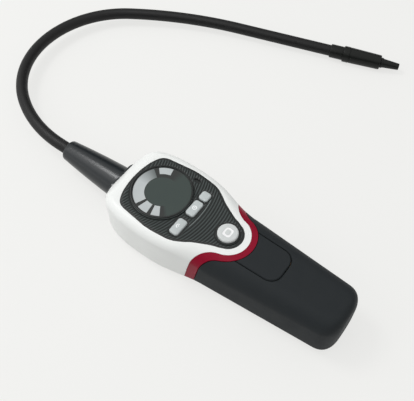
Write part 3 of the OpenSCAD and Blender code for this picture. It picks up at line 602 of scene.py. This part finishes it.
def tabPrism(name, grow, flare):
    # the tab's outline as a block whose upper edge leans out or in: the parting line is a shallow groove
    def outline(by):
        endX = powerX - latch["reach"] + latch["round"]
        pts = [(powerX - latch["frontBack"] + by, s * (latch["front"] + by)) for s in (-1, 1)]
        for s in (-1, 1):
            pts += disc(endX, s * (latch["end"] - latch["round"]), latch["round"] + by, count=64)
        return pts

    order = convex_hull_2d(outline(0))
    rings = []
    for z, by in ((-past, 0), (-latch["groove"], 0), (0, flare), (past, flare)):
        pts = outline(grow + by)
        rings.append([(pts[i][0], pts[i][1], faceZ + z) for i in order])
    return loft(name, rings)


sleeve = cut(copyOf(shell, "batterySleeve"), bandZone("bandSleeve", slide))
cut(sleeve, tabPrism("tabHole", latch["gap"], latch["groove"]))
standFor(sleeve, gripBlack, "sleeve", ["battery_sleeve"])

bandBackX = powerX - trim["tongue"] - trim["band"]
pivotX = bandBackX + latch["pivotAhead"]
pivotZ = faceZ - wall - latch["pivotDrop"]
armX = bandBackX - latch["armBack"]
tongueHalf = latch["earY"] - slide


def pivotBar(name, half, r):
    turn = Matrix.Translation((pivotX, -half, pivotZ)) @ Matrix.Rotation(math.radians(-90), 4, "X")
    return rod(name, r, 0, 2 * half, turn)


tab = keepIn(copyOf(shell, "latchTab"), tabPrism("tabShape", 0, -latch["groove"]))
cut(tab, bandZone("bandTab", slide))
join(tab, boxSolid("block", (armX, -tongueHalf, pivotZ),
                   (armX + latch["armLen"], tongueHalf, faceZ - wall + latch["blend"])))
join(tab, boxSolid("arm", (armX + latch["armIn"], -tongueHalf, pivotZ + latch["armLift"]),
                   (pivotX, tongueHalf, pivotZ + latch["armThick"])))
join(tab, pivotBar("barrel", tongueHalf, latch["pin"] + latch["barrelWall"]))
cut(tab, pivotBar("barrelBore", latch["earY"], latch["pin"] + latch["play"]))
standFor(tab, gripBlack, "tab", ["latch_tab"])
bpy.data.objects.remove(shell)
bpy.data.objects.remove(innerLoft)
print("stage: shells")

# faceplate: curved ribs drawn as a relief, then cut to the plate's outline
ribs = {"pitch": 1.9, "high": 0.45, "bend": 60.0, "edge": 1.0, "fade": 0.5, "round": 0.8, "perPitch": 8,
        "back": 4.0, "ahead": 1.0, "half": 27.0, "stepY": 0.75, "under": 1.0, "crestHigh": 0.7,
        "crestHalf": 0.6, "crestBack": 6.1, "crestNear": 12.0, "crestFar": -15.5, "crestFade": 3.0,
        "crestGap": 0.9, "crestEase": 0.8}
dial = {"radius": 20.1, "ring": 1.1, "proud": 1.8, "clear": 0.6, "inset": 0.5, "base": 0.2, "flare": 0.25,
        "flareDrop": 0.1, "edge": 0.45, "lipDrop": 0.4, "lipOut": 0.6, "lipOver": 0.2}
port = {"x": dialX - 12.6, "y": -20.8, "long": 4.4, "wide": 1.8, "deep": 0.9, "round": 0.8, "clear": 1.0,
        "clearRound": 1.3}
keyRow = {"x": powerX + 27.2, "depth": 6.5, "long": 12.0, "short": 6.8, "round": 1.8, "middleY": -2.4,
          "smallGap": 1.6, "lowerGap": 4.4, "proud": 1.5, "flange": 0.6, "flangeThick": 1.3, "seat": 0.3,
          "clear": 2.0, "clearRound": 2.8, "edge": 1.0, "roll": 0.9, "rollHigh": 0.85, "rollSteps": 6,
          "crown": ((-1.4, -0.06), (-2.0, 0.0)), "leastRound": 0.3}
keyPlaces = {"key_small": (keyRow["middleY"] - keyRow["long"] / 2 - keyRow["smallGap"] - keyRow["short"] / 2,
                           keyRow["short"]),
             "key_middle": (keyRow["middleY"], keyRow["long"]),
             "key_lower": (keyRow["middleY"] + keyRow["long"] + keyRow["lowerGap"], keyRow["long"])}
power = {"radius": 6.6, "proud": 2.4, "flange": 0.8, "edge": 1.1, "crownDrop": 0.1, "crownIn": 2.4,
         "markDepth": 5.6, "markLong": 6.4, "markWide": 1.3, "markRound": 1.7, "markSunk": 0.25,
         "inkLevel": (-0.1, -0.2), "inkReach": (-1.6, -1.7), "ink": "#f6f6f6"}
collar = {"inner": 3.0, "foot": 1.4, "top": 1.2, "high": 0.6, "edge": 0.3}


def roundedRect(x, y, depth, length, r, steps=8):
    a, b = depth / 2 - r, length / 2 - r
    out = []
    for sx, sy, start in ((1, 1, 0), (-1, 1, 90), (-1, -1, 180), (1, -1, 270)):
        out += arcPoints(x + sx * a, y + sy * b, r, start, start + 90, steps)
    return out


def boxDistance(px, py, x, y, depth, length, r):
    qx = np.abs(px - x) - depth / 2 + r
    qy = np.abs(py - y) - length / 2 + r
    return np.hypot(np.maximum(qx, 0), np.maximum(qy, 0)) + np.minimum(np.maximum(qx, qy), 0) - r


def edgeDistance(px, py, outline):
    best = np.full(px.shape, np.inf)
    for (ax, ay), (bx, by) in zip(outline, outline[1:] + outline[:1]):
        dx, dy = bx - ax, by - ay
        t = np.clip(((px - ax) * dx + (py - ay) * dy) / (dx * dx + dy * dy), 0, 1)
        best = np.minimum(best, np.hypot(px - ax - t * dx, py - ay - t * dy))
    return best


us = np.arange(plateLow.x - ribs["back"], plateFrontX + ribs["ahead"], ribs["pitch"] / ribs["perPitch"])
ys = np.arange(-ribs["half"], ribs["half"] + ribs["stepY"] / 2, ribs["stepY"])
uGrid, yGrid = np.meshgrid(us, ys, indexing="ij")
sag = ribs["bend"] - np.sqrt(ribs["bend"] ** 2 - yGrid ** 2)
xGrid = uGrid + sag
# how far each point is from whatever the ribs stop at
clear = edgeDistance(xGrid, yGrid, plateEdge) - ribs["edge"]
clear = np.minimum(clear, np.hypot(xGrid - dialX, yGrid) - dial["radius"] - dial["clear"])
clear = np.minimum(clear, np.hypot(xGrid - powerX, yGrid) - power["radius"] - collar["foot"])
for keyY, keyLen in keyPlaces.values():
    clear = np.minimum(clear, boxDistance(xGrid, yGrid, keyRow["x"], keyY, keyRow["depth"] + keyRow["clear"],
                                          keyLen + keyRow["clear"], keyRow["clearRound"]))
clear = np.minimum(clear, boxDistance(xGrid, yGrid, port["x"], port["y"], port["long"] + port["clear"],
                                      port["wide"] + port["clear"], port["clearRound"]))
crestU = keyRow["x"] - ribs["crestBack"]
crestSpan = np.minimum(np.clip((ribs["crestNear"] - yGrid) / ribs["crestFade"], 0, 1),
                       np.clip((yGrid - ribs["crestFar"]) / ribs["crestFade"], 0, 1))
crest = ribs["crestHigh"] * crestSpan * np.exp(-((uGrid - crestU) / ribs["crestHalf"]) ** 2)
offCrest = np.clip((np.abs(uGrid - crestU) - ribs["crestGap"]) / ribs["crestEase"], 0, 1)
wave = (0.5 + 0.5 * np.cos(2 * np.pi * (uGrid - powerX) / ribs["pitch"])) ** ribs["round"]
ribShare = np.clip(clear / ribs["fade"], 0, 1) * np.maximum(offCrest, 1 - crestSpan)
relief = ribs["high"] * wave * ribShare + crest
topPoints = np.stack([xGrid, yGrid, faceZ + relief], -1).reshape(-1, 3)
lowPoints = np.stack([xGrid, yGrid, np.full_like(xGrid, plateZ - ribs["under"])], -1).reshape(-1, 3)
nu, ny = uGrid.shape
slabFaces = []
for i in range(nu - 1):
    for j in range(ny - 1):
        a, b, c, d = i * ny + j, i * ny + j + 1, (i + 1) * ny + j + 1, (i + 1) * ny + j
        slabFaces.append((a, b, c, d))
        slabFaces.append((a + nu * ny, d + nu * ny, c + nu * ny, b + nu * ny))
rim = list(range(ny)) + [i * ny + ny - 1 for i in range(1, nu)]
rim += [(nu - 1) * ny + j for j in range(ny - 2, -1, -1)] + [i * ny for i in range(nu - 2, 0, -1)]
for a, b in zip(rim, rim[1:] + rim[:1]):
    slabFaces.append((a, b, b + nu * ny, a + nu * ny))
facePlate = meshObject("facePlate", [tuple(p) for p in np.vstack([topPoints, lowPoints])], slabFaces)
keepIn(facePlate, prism("plateShape", plateEdge, plateZ, faceZ + past))
portOutline = roundedRect(port["x"], port["y"], port["long"], port["wide"], port["round"])
cut(facePlate, prism("soundPort", portOutline, faceZ - port["deep"], faceZ + past))
ringTop = faceZ + dial["proud"]
ringFoot = plateZ + dial["base"]
holeR = dial["radius"] - dial["ring"]
dialPlace = Matrix.Translation((dialX, 0, 0))
powerPlace = Matrix.Translation((powerX, 0, 0))
ringOutline = rounded([(holeR - dial["inset"], ringFoot, 0), (dial["radius"], ringFoot, 0),
                       (dial["radius"] + dial["flare"], faceZ - dial["flareDrop"], 0),
                       (dial["radius"], ringTop, dial["edge"]), (holeR - dial["inset"], ringTop, 0)],
                      steps=4)
join(facePlate, lathe("dialRing", ringOutline, dialPlace, count=128))
collarTop = faceZ + collar["high"]
collarOutline = rounded([(collar["inner"], ringFoot, 0), (power["radius"] + collar["foot"], ringFoot, 0),
                         (power["radius"] + collar["top"], collarTop, collar["edge"]),
                         (collar["inner"], collarTop, 0)], steps=4)
join(facePlate, lathe("powerCollar", collarOutline, powerPlace))
lipTop = ringTop + dial["lipOver"]
holeOutline = [(0, plateZ - past), (holeR, plateZ - past), (holeR, ringTop - dial["lipDrop"]),
               (holeR + dial["lipOut"], lipTop), (0, lipTop)]
cut(facePlate, lathe("dialHole", holeOutline, dialPlace, count=128))
drill(facePlate, powerX, 0, power["radius"] + slide / 2, plateZ - past, faceZ + past, count=96)
for keyY, keyLen in keyPlaces.values():
    hole = roundedRect(keyRow["x"], keyY, keyRow["depth"] + slide, keyLen + slide,
                       keyRow["round"] + slide / 2)
    cut(facePlate, prism("keyHole", hole, plateZ - past, faceZ + past))
standFor(facePlate, plateBlack, "housing", ["faceplate"], degrees=40)
print("stage: faceplate", len(facePlate.data.vertices))

# keys: pillow tops with a rolled edge
flangeTop = plateZ - keyRow["seat"]
keyFoot = flangeTop - keyRow["flangeThick"]
keyTop = faceZ + keyRow["proud"]


def pillow(name, x, y, depth, length):
    edgeZ = keyTop - keyRow["edge"]
    levels = [(keyRow["flange"], keyFoot), (keyRow["flange"], flangeTop), (0.0, flangeTop), (0.0, edgeZ)]
    for i in range(1, keyRow["rollSteps"] + 1):
        a = math.radians(90 * i / keyRow["rollSteps"])
        levels.append((-keyRow["roll"] * (1 - math.cos(a)), edgeZ + keyRow["rollHigh"] * math.sin(a)))
    levels += [(grow, keyTop + z) for grow, z in keyRow["crown"]]
    rings = []
    for grow, z in levels:
        r = max(keyRow["leastRound"], keyRow["round"] + grow)
        rings.append([(px, py, z) for px, py in roundedRect(x, y, depth + 2 * grow, length + 2 * grow, r)])
    return loft(name, rings)


keyBodies = {"key_small": "small_key", "key_middle": "middle_key", "key_lower": "lower_key"}
for keyName, (keyY, keyLen) in keyPlaces.items():
    piece = pillow(keyName + "_cap", keyRow["x"], keyY, keyRow["depth"], keyLen)
    standFor(piece, keyPale, keyBodies[keyName], [keyName], degrees=50)

powerTop = faceZ + power["proud"]
powerOutline = rounded([(0, keyFoot, 0), (power["radius"] + power["flange"], keyFoot, 0),
                        (power["radius"] + power["flange"], flangeTop, 0), (power["radius"], flangeTop, 0),
                        (power["radius"], powerTop - power["crownDrop"], power["edge"]),
                        (power["radius"] - power["crownIn"], powerTop, 0), (0, powerTop, 0)], steps=6)
powerCap = lathe("powerButton", powerOutline, powerPlace)
line = power["markWide"]
markOuter = roundedRect(powerX, 0, power["markDepth"], power["markLong"], power["markRound"])
markInner = roundedRect(powerX, 0, power["markDepth"] - 2 * line, power["markLong"] - 2 * line,
                        power["markRound"] - line / 2)
mark = prism("mark", markOuter, powerTop - power["markSunk"], powerTop + past)
cut(mark, prism("markInner", markInner, powerTop - past, powerTop + 2 * past))
cut(powerCap, mark)
standFor(powerCap, powerPale, "power_key", ["power_button"], degrees=50)
print("stage: keys")

# probe: boot, gooseneck, ferrule, cap and nose
boot = {"long": 50.6, "base": 23.4, "tip": 14.8, "swell": 0.4, "rise": 0.3, "edge": 1.2, "edgeFrom": 8.0,
        "edgeSteps": 6, "steps": 20}
bootX = frontX + fit
bootPlace = Matrix.Translation((bootX, 0, neck["axisZ"])) @ axisTurn
bootEnd = boot["long"] - fit
bootOutline = [(neckBore, 0), (boot["base"] / 2, 0)]
for i in range(1, boot["steps"]):
    t = i / boot["steps"]
    wide = mix(boot["base"], boot["tip"], t) / 2 + boot["swell"] * math.sin(math.pi * t)
    bootOutline.append((wide, mix(boot["rise"], bootEnd - boot["edge"], t)))
bootOutline += arcPoints(boot["tip"] / 2 - boot["edge"], bootEnd - boot["edge"], boot["edge"],
                         boot["edgeFrom"], 90, boot["edgeSteps"])
bootOutline.append((neckBore, bootEnd))
bootPiece = lathe("neckBoot", bootOutline, bootPlace)
# the flange repeats the housing's front section, drawn in towards the neck's axis
flange = {"thick": 1.6, "inset": 0.4, "edge": 0.4, "edgeIn": 0.3, "reach": 12.0, "lap": 1.0}
flangeX = bootX + flange["thick"]
rings = []
for grow, x in ((0.0, bootX), (0.0, flangeX - flange["edge"]), (flange["edgeIn"], flangeX)):
    keep = 1 - (flange["inset"] + grow) / flange["reach"]
    rings.append([(x, y * keep, mix(neck["axisZ"], z, keep))
                  for _, y, z in sectionAt(frontX, 0, form["outerSteps"])])
flangePlate = loft("bootFlange", rings)
flangeHole = rod("flangeHole", boot["base"] / 2 - flange["lap"], -past, past, bootPlace, count=96)
cut(flangePlate, flangeHole)
join(bootPiece, flangePlate)
standFor(bootPiece, bootRubber, "housing", ["neck_boot"])

ferrule = {"long": 10.6, "wide": 10.6, "edge": 0.5, "lipEdge": 0.15, "deep": 2.1}
cap = {"long": 30.0, "wide": 12.5, "tip": 11.2, "edge": 0.5, "tipEdge": 0.9,
       "groove": ((0.0, 5.0), (0.3, 5.15), (0.3, 5.55), (0.1, 5.7))}
socket = {"radius": 4.8, "wall": 0.7, "long": 20.0, "gap": 0.6, "cellEnd": 25.4, "cellIn": 0.3}
nose = {"long": 14.6, "wide": 7.0, "tip": 4.7, "wall": 0.6, "bore": 1.3, "collarOut": 0.5, "collarLong": 1.7,
        "collarEdge": 0.3, "slopeFrom": 1.9, "tipOut": 0.15, "tipEdge": 0.5}

# the neck's middle line: points and headings in the plane that it is bent in
heading, point = 0.0, Vector((neck["lead"], 0.0))
root = Vector((-boot["long"] - wall - neck["rootIn"], 0.0))
route = [(root, 0.0), (Vector((0.0, 0.0)), 0.0), (point, 0.0)]
for bendR, bendA in neck["bends"]:
    centre = point - bendR * Vector((math.sin(heading), math.cos(heading)))
    steps = max(neck["leastSteps"], round(bendR * math.radians(bendA) / neck["bendStep"]))
    for i in range(1, steps + 1):
        a = heading + math.radians(bendA) * i / steps
        route.append((centre + bendR * Vector((math.sin(a), math.cos(a))), a))
    heading += math.radians(bendA)
    point = route[-1][0]
ahead = Vector((math.cos(heading), -math.sin(heading)))
capAt = point + (neck["run"] + ferrule["long"]) * ahead
dip = math.asin((neck["axisZ"] - cap["wide"] / 2) / -capAt.y)
neckPlane = Matrix.Translation((frontX + boot["long"], 0, neck["axisZ"])) @ Matrix.Rotation(dip, 4, "X")
route.append((capAt - neck["tipIn"] * ahead, heading))
rings = []
for place, a in route:
    ring = []
    for y, z in disc(0, 0, neck["wide"] / 2, count=48):
        local = Vector((place.x + y * math.sin(a), place.y + y * math.cos(a), z))
        ring.append(neckPlane @ local)
    rings.append(ring)
neckPiece = loft("gooseneckArm", rings)
standFor(neckPiece, neckSleeve, "housing", ["gooseneck"])

tipPlace = (neckPlane @ Matrix.Translation((capAt.x, capAt.y, 0))
            @ Matrix.Rotation(-heading, 4, "Z") @ axisTurn)
ferruleR = ferrule["wide"] / 2
ferruleOutline = rounded([(neckBore, -ferrule["long"], 0), (ferruleR, -ferrule["long"], ferrule["edge"]),
                          (ferruleR, -fit, ferrule["lipEdge"]), (0, -fit, 0),
                          (0, -ferrule["deep"], 0), (neckBore, -ferrule["deep"], 0)], steps=4)
standFor(lathe("neckFerrule", ferruleOutline, tipPlace, count=72), tipNylon, "housing", ["neck_ferrule"])
capR, capTipR = cap["wide"] / 2, cap["tip"] / 2
capBore = socket["radius"] + slide
cellBore = socket["radius"] - socket["wall"] - socket["cellIn"] + slide
noseBore = nose["wide"] / 2 - nose["wall"]
socketEnd = socket["long"] + socket["gap"]
capOutline = rounded([(capBore, 0, 0), (capR, 0, cap["edge"])]
                     + [(capR - deep, at, 0) for deep, at in cap["groove"]]
                     + [(capTipR, cap["long"], cap["tipEdge"]), (noseBore, cap["long"], 0),
                        (noseBore, socket["cellEnd"], 0), (cellBore, socket["cellEnd"], 0),
                        (cellBore, socketEnd, 0), (capBore, socketEnd, 0)], steps=5)
standFor(lathe("sensorCap", capOutline, tipPlace, count=72), tipNylon, "cap", ["sensor_cap"])
noseR, noseTipR = nose["wide"] / 2, nose["tip"] / 2
noseRoot = socket["cellEnd"] + fit
noseEnd = cap["long"] + nose["long"]
shank = noseBore - fit
collarR = noseR + nose["collarOut"]
noseOutline = rounded([(nose["bore"], noseRoot, 0), (shank, noseRoot, 0), (shank, cap["long"] + fit, 0),
                       (collarR, cap["long"] + fit, nose["collarEdge"]),
                       (collarR, cap["long"] + nose["collarLong"], nose["collarEdge"]),
                       (noseR, cap["long"] + nose["slopeFrom"], 0),
                       (noseTipR + nose["tipOut"], noseEnd, nose["tipEdge"]),
                       (nose["bore"], noseEnd, 0)], steps=4)
standFor(lathe("probeNose", noseOutline, tipPlace, count=64), tipNylon, "cap", ["probe_nose"])
print("stage: probe")


def within(tree, *limits):
    # 1 where every source has passed from its low limit to its high one
    mask = None
    for source, low, high in limits:
        step = addNode(tree, "MapRange", {"From Min": low, "From Max": high}, {"Value": source})
        if mask is None:
            mask = step.outputs[0]
        else:
            both = addNode(tree, "Math", {"operation": "MULTIPLY"}, {0: mask, 1: step.outputs[0]})
            mask = both.outputs[0]
    return mask


def inMm(source, limits, base=0.0):
    return source, (base + limits[0]) * mm, (base + limits[1]) * mm


def inDegrees(source, limits):
    return source, math.radians(limits[0]), math.radians(limits[1])


def overlay(tree, mask, colour):
    # paints a colour over the base where the mask is 1
    base = tree.nodes["skin"].inputs["Base Color"]
    under = base.links[0].from_socket
    paint = addNode(tree, "Mix", {"data_type": "RGBA"}, {"Factor": mask})
    paint.inputs[mixOver].default_value = linear(colour)
    tree.links.new(under, paint.inputs[mixUnder])
    tree.links.new(paint.outputs[mixOut], base)


def polar(tree, cx, cy=0.0):
    # height, then distance and angle about an upright axis through (cx, cy), in the frame's own coordinates
    coords = addNode(tree, "TexCoord", {}, {})
    axes = addNode(tree, "SeparateXYZ", {}, {"Vector": coords.outputs["Object"]})
    shift = addNode(tree, "VectorMath", {"operation": "MULTIPLY_ADD"}, {0: coords.outputs["Object"]})
    shift.inputs[1].default_value = (1.0, 1.0, 0.0)
    shift.inputs[2].default_value = (-cx * mm, -cy * mm, 0.0)
    away = addNode(tree, "VectorMath", {"operation": "LENGTH"}, {0: shift.outputs[0]})
    flat = addNode(tree, "SeparateXYZ", {}, {"Vector": shift.outputs[0]})
    angle = addNode(tree, "Math", {"operation": "ARCTAN2"},
                    {0: flat.outputs["Y"], 1: flat.outputs["X"]})
    return axes.outputs["Z"], away.outputs["Value"], angle.outputs[0]


# smoked polycarbonate lens: dark green grey, a printed black surround behind the light windows
lens = {"disc": (10.7, 10.9), "maskFrom": (-104.0, -88.0), "maskTo": (140.0, 132.0), "print": "#191d1c"}
lensSmoked = grained("smokedPolycarbonateLens", ("#243330", "#283732"), rough=(0.16, 0.22), grainMm=2.0,
                     grainHigh=0.004, blotchMm=9.0, extra={"IOR": 1.58})
lensTree = lensSmoked.node_tree
_, away, angle = polar(lensTree, dialX)
onPrint = within(lensTree, inMm(away, lens["disc"]), inDegrees(angle, lens["maskFrom"]),
                 inDegrees(angle, lens["maskTo"]))
overlay(lensTree, onPrint, lens["print"])
# frosted acrylic diffusers: pale grey; the long one has painted shade, darker towards its far end
windows = {"fade": (8.0, -40.0), "shade": "#4f5756"}
diffuser, paintedShadeDiffuser = [grained(name, ("#b4babb", "#bcc2c2"), rough=(0.3, 0.4), grainMm=0.8, grainHigh=0.01,
                            blotchMm=4.0, extra={"IOR": 1.49})
                    for name in ("frostedAcrylicDiffuser", "shadedAcrylicDiffuser")]
paintedShadeTree = paintedShadeDiffuser.node_tree
_, _, angle = polar(paintedShadeTree, dialX)
# painted shade on the long window, none at 8 degrees and full past -40 degrees
overlay(paintedShadeTree, within(paintedShadeTree, inDegrees(angle, windows["fade"])), windows["shade"])

# painted highlight: rib crests painted paler than the valleys between them, the tall crest most of all
paintedRibHighlight = {"offCollar": (1.5, 1.8), "belowRing": (1.1, 0.9), "ribs": (0.1, 0.45), "ribHighlightColour": "#3b4342",
          "crest": (0.5, 0.66), "crestHighlightColour": "#757b7a"}
plateTree = plateBlack.node_tree
level, away, _ = polar(plateTree, powerX)
offCollar = inMm(away, paintedRibHighlight["offCollar"], power["radius"])
belowRing = inMm(level, paintedRibHighlight["belowRing"], faceZ)
# painted highlight by height: first on the rib tops, then a paler one on the tall crest
for heights, colour in (("ribs", "ribHighlightColour"), ("crest", "crestHighlightColour")):
    paintedHighlightMask = within(plateTree, belowRing, offCollar, inMm(level, paintedRibHighlight[heights], faceZ))
    overlay(plateTree, paintedHighlightMask, paintedRibHighlight[colour])
# a lengthwise red stripe on the plated tube, on the side that faces up
stripe = {"half": 0.55, "edge": 0.1, "face": (3.0, 3.2), "stripeRed": "#c8242c"}
chromeTree = chromePlate.node_tree
acrossTip, upTip = sorted((tipPlace.col[0].xyz, tipPlace.col[1].xyz), key=lambda side: abs(side.z))
upTip = upTip if upTip.z > 0 else -upTip
coords = addNode(chromeTree, "TexCoord", {}, {})
fromTip = addNode(chromeTree, "VectorMath", {"operation": "SUBTRACT"}, {0: coords.outputs["Object"]})
fromTip.inputs[1].default_value = tipPlace.translation * mm
sides = []
for direction in (acrossTip, upTip):
    step = addNode(chromeTree, "VectorMath", {"operation": "DOT_PRODUCT"}, {0: fromTip.outputs[0]})
    step.inputs[1].default_value = direction
    sides.append(step.outputs["Value"])
stripeOut = stripe["half"] + stripe["edge"]
onStripe = within(chromeTree, inMm(sides[1], stripe["face"]), inMm(sides[0], (-stripeOut, -stripe["half"])),
                  inMm(sides[0], (stripeOut, stripe["half"])))
overlay(chromeTree, onStripe, stripe["stripeRed"])
# white ink in the sunk ring of the power button
powerTree = powerPale.node_tree
level, away, _ = polar(powerTree, powerX)
sunk = within(powerTree, inMm(level, power["inkLevel"], powerTop),
              inMm(away, power["inkReach"], power["radius"]))
overlay(powerTree, sunk, power["ink"])

# plain white print on two keys: a dot inside an open arc, and a dot inside a ring
keyPrint = {"dot": (0.5, 0.38), "inner": (0.88, 1.0), "outer": (1.62, 1.5), "soft": 5.0, "ink": "#eef1f1",
            "arcHalf": {"key_lower": 95.0, "key_middle": 180.0}}
keyTree = keyPale.node_tree
for keyName, arcHalf in keyPrint["arcHalf"].items():
    _, away, angle = polar(keyTree, keyRow["x"], keyPlaces[keyName][0])
    overlay(keyTree, within(keyTree, inMm(away, keyPrint["dot"])), keyPrint["ink"])
    arc = within(keyTree, inMm(away, keyPrint["inner"]), inMm(away, keyPrint["outer"]),
                 inDegrees(angle, (-arcHalf - keyPrint["soft"], -arcHalf)),
                 inDegrees(angle, (arcHalf + keyPrint["soft"], arcHalf)))
    overlay(keyTree, arc, keyPrint["ink"])

finish = {
    "display_lens": lensSmoked, "light_top": diffuser, "light_arc": paintedShadeDiffuser, "light_low_left": diffuser,
    "light_bottom": diffuser, "display_module": boardGreen, "main_board": boardGreen,
    "key_switches": darkNylon, "buzzer": darkNylon, "neck_nut": zincSteel, "socket_sleeve": chromePlate,
    "socket_insert": darkNylon, "insulator_ring": blueRing, "contact_pins": goldBrass,
    "sensor_cell": sensorCan, "battery_tray": darkNylon, "latch_pin": zincSteel, "cell_1": cellFilm,
    "cell_2": cellFilm, "cell_3": cellFilm, "cell_4": cellFilm, "front_contacts": zincSteel,
    "rear_contacts": zincSteel, "housing_screws": zincSteel, "board_screws": zincSteel,
}
for name, mat in finish.items():
    nodes[name].data.materials.clear()
    nodes[name].data.materials.append(mat)
    softEdges(nodes[name], sharpFrom)
print("stage: inner pieces")


def plainRays(tree):
    # 1 for what the camera sees, straight or in a gloss or through a clear piece
    rays = addNode(tree, "LightPath", {}, {})
    seen = rays.outputs["Is Camera Ray"]
    for kind in ("Is Glossy Ray", "Is Transmission Ray"):
        either = addNode(tree, "Math", {"operation": "MAXIMUM"}, {0: seen, 1: rays.outputs[kind]})
        seen = either.outputs[0]
    return seen


# floor: matt paper, mostly self-lit for the camera so that shadows stay faint
paper = {"shown": "#fafaf8", "lit": "#d4d4d2", "selfLit": 0.75, "half": 3000, "level": -0.3}
floor = meshObject("floor", [(sx * paper["half"], sy * paper["half"], paper["level"])
                             for sx, sy in ((-1, -1), (1, -1), (1, 1), (-1, 1))], [(0, 1, 2, 3)])
floorMat, floorTree, floorOut = newMaterial("mattPaperSweep")
paperLit = addNode(floorTree, "BsdfDiffuse", {"Color": linear(paper["lit"])}, {})
paperGlow = addNode(floorTree, "Emission", {"Color": linear(paper["shown"]), "Strength": 1.0}, {})
share = addNode(floorTree, "MapRange", {"To Max": paper["selfLit"]}, {"Value": plainRays(floorTree)})
paperMix = addNode(floorTree, "MixShader", {},
                   {0: share.outputs[0], 1: paperLit.outputs[0], 2: paperGlow.outputs[0]})
floorTree.links.new(paperMix.outputs[0], floorOut.inputs["Surface"])
floor.data.materials.append(floorMat)

# room: bright overhead, dim at the horizon; shown plain and pale, with dark side walls high up for gloss
room = {"zenith": 0.8, "horizon": 0.25, "climb": (0.05, 0.9), "backdrop": "#f1f1ef", "sideWall": "#1c1c1c",
        "wallFoot": (0.1, 0.2), "wallHead": (0.65, 0.45), "wallSide": (0.4, 0.6)}
world = bpy.data.worlds.new("studio")
world.use_nodes = True
scene.world = world
tree = world.node_tree
tree.nodes.clear()
worldOut = addNode(tree, "OutputWorld", {}, {})
coords = addNode(tree, "TexCoord", {}, {})
axes = addNode(tree, "SeparateXYZ", {}, {"Vector": coords.outputs["Generated"]})
height = axes.outputs["Z"]
climb = addNode(tree, "MapRange",
                {"From Min": room["climb"][0], "From Max": room["climb"][1],
                 "To Min": room["horizon"], "To Max": room["zenith"]}, {"Value": height})
sky = addNode(tree, "Background", {"Color": linear("#ffffff")}, {"Strength": climb.outputs["Result"]})
aside = addNode(tree, "Math", {"operation": "ABSOLUTE"}, {0: axes.outputs["Y"]}).outputs[0]
onWall = within(tree, (height, *room["wallFoot"]), (height, *room["wallHead"]), (aside, *room["wallSide"]))
walls = addNode(tree, "Mix", {"data_type": "RGBA"}, {"Factor": onWall})
walls.inputs[mixUnder].default_value = linear(room["backdrop"])
walls.inputs[mixOver].default_value = linear(room["sideWall"])
plain = addNode(tree, "Background", {"Strength": 1.0}, {"Color": walls.outputs[mixOut]})
shown = addNode(tree, "MixShader", {}, {0: plainRays(tree), 1: sky.outputs[0], 2: plain.outputs[0]})
tree.links.new(shown.outputs[0], worldOut.inputs["Surface"])

# square soft boxes, places and sizes in metres
lamps = {"overBox": {"place": (0.52, 0.08, 0.9), "aim": (0.0, -0.03, 0.0), "size": 0.3, "watts": 3.5},
         "frontFill": {"place": (0.8, 0.75, 0.6), "aim": (0.0, 0.0, 0.0), "size": 1.1, "watts": 3.6}}
for name, box in lamps.items():
    data = bpy.data.lights.new(name, "AREA")
    data.shape = "SQUARE"
    data.size = box["size"]
    data.energy = box["watts"]
    lamp = bpy.data.objects.new(name, data)
    scene.collection.objects.link(lamp)
    lamp.location = box["place"]
    lamp.rotation_euler = (Vector(box["aim"]) - Vector(box["place"])).to_track_quat("-Z", "Y").to_euler()
scene.view_settings.view_transform = "Standard"
print("stage: floor and light")
